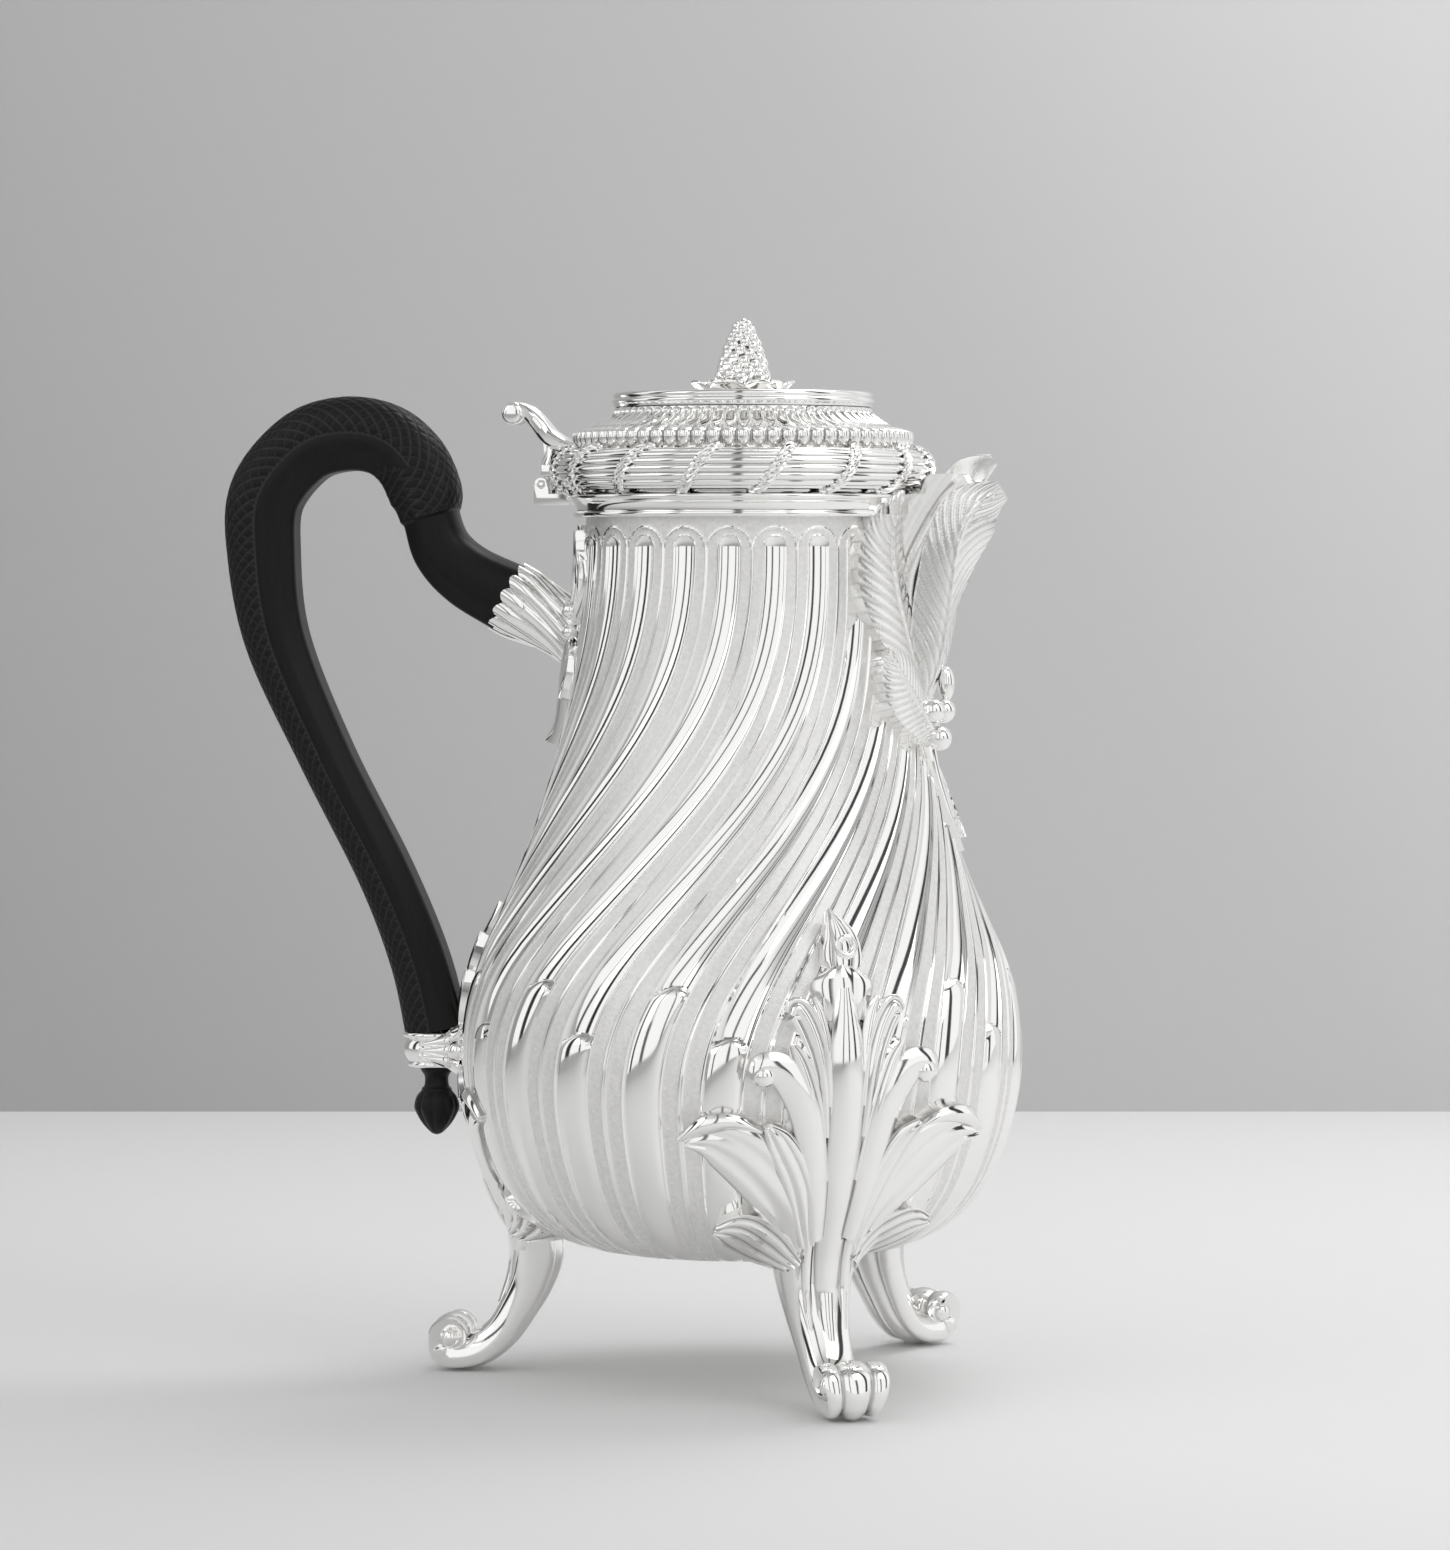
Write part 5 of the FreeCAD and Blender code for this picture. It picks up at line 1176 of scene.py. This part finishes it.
def berry_cone(name):
    """Berries set on a spiral up a cone, smaller towards the tip."""
    tree, given = copy_tree(name + "_spiral", [
        ("Count", "Int"), ("Height", "Float"), ("Foot Radius", "Float"), ("Tip Radius", "Float"),
        ("Bottom", "Float")])
    index = add_node(tree, "GeometryNodeInputIndex").outputs[0]
    share = maths(tree, "POWER", maths(tree, "DIVIDE", index, given["Count"]), crowding)
    angle = maths(tree, "MULTIPLY", index, berry_turn)
    taper = maths(tree, "SUBTRACT", given["Tip Radius"], given["Foot Radius"])
    taper = maths(tree, "MULTIPLY", taper, maths(tree, "POWER", share, cone_bulge))
    radius = maths(tree, "ADD", given["Foot Radius"], taper)
    rise = maths(tree, "MULTIPLY", share, given["Height"])
    where = add_node(tree, "ShaderNodeCombineXYZ")
    feed(tree, where, {"X": maths(tree, "MULTIPLY", radius, maths(tree, "COSINE", angle)),
                       "Y": maths(tree, "MULTIPLY", radius, maths(tree, "SINE", angle)),
                       "Z": maths(tree, "ADD", given["Bottom"], rise)})
    points = add_node(tree, "GeometryNodePoints")
    feed(tree, points, {"Count": given["Count"], "Position": where.outputs[0]})
    size = maths(tree, "SUBTRACT", foot_size, maths(tree, "MULTIPLY", share, tip_loss))
    berry = piece(name + "_one", [ball_part((0, 0, 0), berry_size, 9, 12)], silver)
    return copies(name, berry, tree, points, {"Scale": size}, cone_sizes)


fix(berry_cone("finial_berries"), "lid", "silver", "finial_berry_cone")
core_corners = [(0.0, cone_bottom), (5.2, cone_bottom), (5.2, cone_bottom + 4), (1.6, cone_top - 4),
                (0.0, cone_top - 2)]
top_berry = ball_part((0, 0, cone_top - 1.6), 1.55)
# The core between the berries carries painted shade all over.
core = piece("finial_core", [turned_part(rounded(core_corners, 0.6), 48, painted_shade=0.45), top_berry], silver)
fix(core, "lid", "silver", "finial_berry_cone")

# Hinge, pins and nut: filed and drawn silver on the shapes of the CAD solids, with small bevels
# where a file has broken the edges.
cad_merge_gap, flat_angle, bevel_angle = 0.002, 3.0, 35.0


def bevelled(node, name, bevel):
    """A silver copy of a CAD node with merged points and small bevels on its edges."""
    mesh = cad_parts[node].data.copy()
    mesh.name = name
    shape = bmesh.new()
    shape.from_mesh(mesh)
    bmesh.ops.remove_doubles(shape, verts=shape.verts, dist=cad_merge_gap * MM)
    bmesh.ops.dissolve_limit(shape, angle_limit=math.radians(flat_angle), verts=shape.verts,
                             edges=shape.edges)
    paired = [edge for edge in shape.edges if len(edge.link_faces) == 2]
    sharp = [edge for edge in paired if edge.calc_face_angle() > math.radians(bevel_angle)]
    bmesh.ops.bevel(shape, geom=sharp, offset=bevel * MM, segments=2, profile=0.5, affect="EDGES",
                    clamp_overlap=True)
    return finished(name, mesh, shape, silver, bevel_angle)


for node, name, body, bevel in (
        ("hinge_body_leaf", "hinge_plate", "pot", 0.25), ("hinge_lid_leaf", "hinge_block", "lid", 0.25),
        ("hinge_pin", "hinge_wire", "pot", 0.15), ("upper_handle_pin", "upper_pin", "pot", 0.2),
        ("lower_handle_pin", "lower_pin", "pot", 0.2), ("finial_stud", "stud", "lid", 0.15),
        ("finial_nut", "nut", "lid", 0.2)):
    fix(bevelled(node, name, bevel), body, "silver", node)

# Thumb piece: a cast scroll that stands on the hinge block, ridged along its back, and rolls over
# at its end for the thumb to press.
thumb_low, thumb_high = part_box("thumb_piece")
roll = np.array([thumb_low.x / MM + 2.9, thumb_high.z / MM - 2.9])
thumb_path = [(-46.4, band_top + 0.8), (-50.5, band_top + 1.4), (-54.5, band_top + 3.6),
              (-57.6, band_top + 7.4), (-60.8, band_top + 10.6), tuple(roll + (0.4, 1.5)),
              tuple(roll + (-1.3, 0.4)), tuple(roll + (-0.5, -1.2))]
thumb_thick = [3.2, 4.4, 5.0, 4.8, 4.2, 3.6, 3.0, 2.2]
thumb_wide = [13.0, 12.0, 11.0, 9.8, 9.2, 9.4, 9.8, 9.6]
thumb_rows, thumb_back_columns, thumb_below_columns = 70, 25, 13
stations = np.linspace(0, 1, thumb_rows)
middle = smooth(thumb_path, stations)
forward = unit(np.gradient(middle, axis=0))
over = np.stack([forward[:, 1], -forward[:, 0]], -1)
back = np.linspace(-1, 1, thumb_back_columns)
ridged = 0.5 * (0.75 + 0.25 * np.abs(np.cos(1.5 * math.pi * back)))
below = np.linspace(1, -1, thumb_below_columns)[1:-1]
across = np.concatenate([back, below])
rise = np.concatenate([ridged * np.sqrt(np.clip(1.1 - back ** 4, 0, 1)), -0.5 * np.sqrt(1 - below ** 4)])
flat = middle[:, None] + over[:, None] * (smooth(thumb_thick, stations)[:, None] * rise)[..., None]
side = smooth(thumb_wide, stations)[:, None] * across / 2
thumb_grid = np.stack([flat[..., 0], side, flat[..., 1]], -1)
thumb_parts = [ring_part(thumb_grid)]
roll_columns = 40
roll_turn = np.linspace(0, 2 * math.pi, roll_columns, endpoint=False)
roll_y = np.array([-5.0, -4.6, -3.8, 0, 3.8, 4.6, 5.0])
roll_r = np.array([1.6, 2.7, 3.2, 3.0, 3.2, 2.7, 1.6])
roll_grid = np.stack([roll[0] + roll_r[:, None] * np.cos(roll_turn),
                      np.repeat(roll_y[:, None], roll_columns, 1),
                      roll[1] + roll_r[:, None] * np.sin(roll_turn)], -1)
thumb_parts.append(ring_part(roll_grid))
stalk_spine = [(-55.6, 0, 254.3), (-55.2, 0, 258), (-56, 0, 262)]
stalk_widths = [7.0, 4.6, 3.6]
thumb_parts.append(leaf_part(stalk_spine, stalk_widths, fluted(2, 0.5, 0.6), [(-1, 0, 0)] * 2, 2.4))
fix(piece("thumb_scroll", thumb_parts, silver, 50), "lid", "silver", "thumb_piece")

# Stage: a pale table with a grey wall behind it, seen from one side only, under soft white light
# with a few dark gaps for the silver to mirror.
camera_turn = math.radians(10.0)
camera_distance, camera_height, camera_shift = 1.500, 0.232, 0.005
camera_pitch = math.radians(2.44)
toward = np.array([math.sin(camera_turn), -math.cos(camera_turn), 0.0])
rightward = np.array([math.cos(camera_turn), math.sin(camera_turn), 0.0])


def stage_plane(name, corners, material):
    """A flat surface of the stage."""
    mesh = bpy.data.meshes.new(name)
    mesh.from_pydata([tuple(corner) for corner in corners], [], [(0, 1, 2, 3)])
    mesh.materials.append(material)
    new_object(name, mesh)


def stage_material(name, direction, painted_light_at, one_sided):
    """A matt surface with painted light and shade: grey tones at distances along a direction, clear from
    behind if one-sided.
    """
    material, tree, shader = new_material(name)
    place = add_node(tree, "ShaderNodeTexCoord")
    across = add_node(tree, "ShaderNodeVectorMath", operation="DOT_PRODUCT")
    feed(tree, across, {0: place.outputs["Object"], 1: tuple(direction)})
    nearest, farthest = painted_light_at[0][0], painted_light_at[-1][0]
    tones = add_node(tree, "ShaderNodeValToRGB")
    feed(tree, tones, {"Fac": ranged(tree, across.outputs["Value"], 0.0, 1.0, nearest, farthest)})
    stops = tones.color_ramp.elements
    while len(stops) < len(painted_light_at):
        stops.new(0.5)
    for stop, (distance, grey) in zip(stops, painted_light_at):
        stop.position = (distance - nearest) / (farthest - nearest)
    for stop, (distance, grey) in zip(stops, painted_light_at):
        stop.color = (grey, grey, grey, 1)
    feed(tree, shader, {"Base Color": tones.outputs["Color"], "Roughness": stage_rough})
    if one_sided:
        seen = add_node(tree, "ShaderNodeNewGeometry")
        clear = add_node(tree, "ShaderNodeBsdfTransparent")
        either = add_node(tree, "ShaderNodeMixShader")
        feed(tree, either, {0: seen.outputs["Backfacing"], 1: shader.outputs["BSDF"],
                            2: clear.outputs["BSDF"]})
        feed(tree, tree.nodes["Material Output"], {"Surface": either.outputs["Shader"]})
    return material


upward = np.array([0.0, 0.0, 1.0])
stage_rough = 0.9
# Painted light and shade on the table: darker to the left and towards the camera, paler to the right and
# towards the wall.
table_painted_light = ((-1.2, 0.42), (-0.45, 0.68), (0.05, 0.82), (0.6, 0.87))
# Painted light and shade on the wall: darker to the left and low down, paler to the right and higher up.
wall_painted_light = ((-0.26, 0.437), (0.0, 0.525), (0.28, 0.59), (0.53, 0.73), (0.9, 0.92))
table_top = stage_material("pale_table", rightward - 0.6 * toward, table_painted_light, False)
grey_wall = stage_material("grey_wall", rightward + 0.6 * upward, wall_painted_light, True)
table_half = 6
stage_plane("table", [(x * table_half, y * table_half, 0) for x, y in ((-1, -1), (1, -1), (1, 1), (-1, 1))],
            table_top)
wall_back, wall_half, wall_rise = 0.705, 1.6, 1.5
wall_corners = [-toward * wall_back + rightward * side * wall_half + upward * rise * wall_rise
                for side, rise in ((-1, 0), (1, 0), (1, 1), (-1, 1))]
stage_plane("wall", wall_corners, grey_wall)

world = bpy.data.worlds.new("studio")
bpy.context.scene.world = world
world.use_nodes = True
sky = world.node_tree
place = add_node(sky, "ShaderNodeTexCoord")
heading = add_node(sky, "ShaderNodeSeparateXYZ")
feed(sky, heading, {0: place.outputs["Generated"]})
bearing = maths(sky, "ARCTAN2", heading.outputs["Y"], heading.outputs["X"])
ceiling_start, ceiling_end = (math.sin(math.radians(degrees)) for degrees in (38, 68))
ceiling_tone, plain_tone, sky_strength = 0.5, 0.78, 0.95
mirrored = ranged(sky, heading.outputs["Z"], 1.0, ceiling_tone, ceiling_start, ceiling_end,
                  interpolation_type="SMOOTHSTEP")
dark_gaps = [(-166, 9, 0.97), (-128, 5, 0.9), (-84, 4, 0.85), (-47, 5, 0.9), (-4, 9, 0.95)]
gap_core = 0.6
for degrees, half, darkness in dark_gaps:
    away = maths(sky, "ABSOLUTE", maths(sky, "SUBTRACT", bearing, math.radians(degrees)))
    gap = ranged(sky, away, 1 - darkness, 1.0, math.radians(half * gap_core), math.radians(half),
                 interpolation_type="SMOOTHSTEP")
    mirrored = maths(sky, "MULTIPLY", mirrored, gap)
ray = add_node(sky, "ShaderNodeLightPath")
sky_tone = mixed(sky, "FLOAT", ray.outputs["Is Glossy Ray"], plain_tone, mirrored)
feed(sky, sky.nodes["Background"], {"Color": sky_tone, "Strength": sky_strength})

lamp_aim = upward * 0.14
for name, where, size, power in (("key", rightward * 0.9 + toward * 0.9 + upward * 1.3, 0.9, 3.0),
                                 ("fill", -rightward * 1.1 + toward * 0.7 + upward * 0.9, 0.8, 1.0),
                                 ("back", rightward * 0.35 - toward * 0.35 + upward * 1.1, 0.5, 3.0)):
    lamp = bpy.data.lights.new(name, "AREA")
    lamp.size = size
    lamp.energy = power
    lamp_object = new_object(name, lamp)
    lamp_object.location = where
    aim = lamp_aim - where
    tilt = math.atan2(math.hypot(aim[0], aim[1]), -aim[2])
    lamp_object.rotation_euler = (tilt, 0, math.atan2(aim[1], aim[0]) - math.pi / 2)

photo_focal_pixels, photo_height_pixels, sensor_width = 5400, 1550, 36.0
camera = bpy.data.cameras.new("camera")
camera.sensor_width = sensor_width
camera.lens = photo_focal_pixels / photo_height_pixels * sensor_width
camera_object = new_object("camera", camera)
camera_object.location = toward * camera_distance - rightward * camera_shift + upward * camera_height
camera_object.rotation_euler = (math.pi / 2 - camera_pitch, 0, camera_turn)
bpy.context.scene.camera = camera_object
bpy.context.scene.view_settings.view_transform = "Standard"
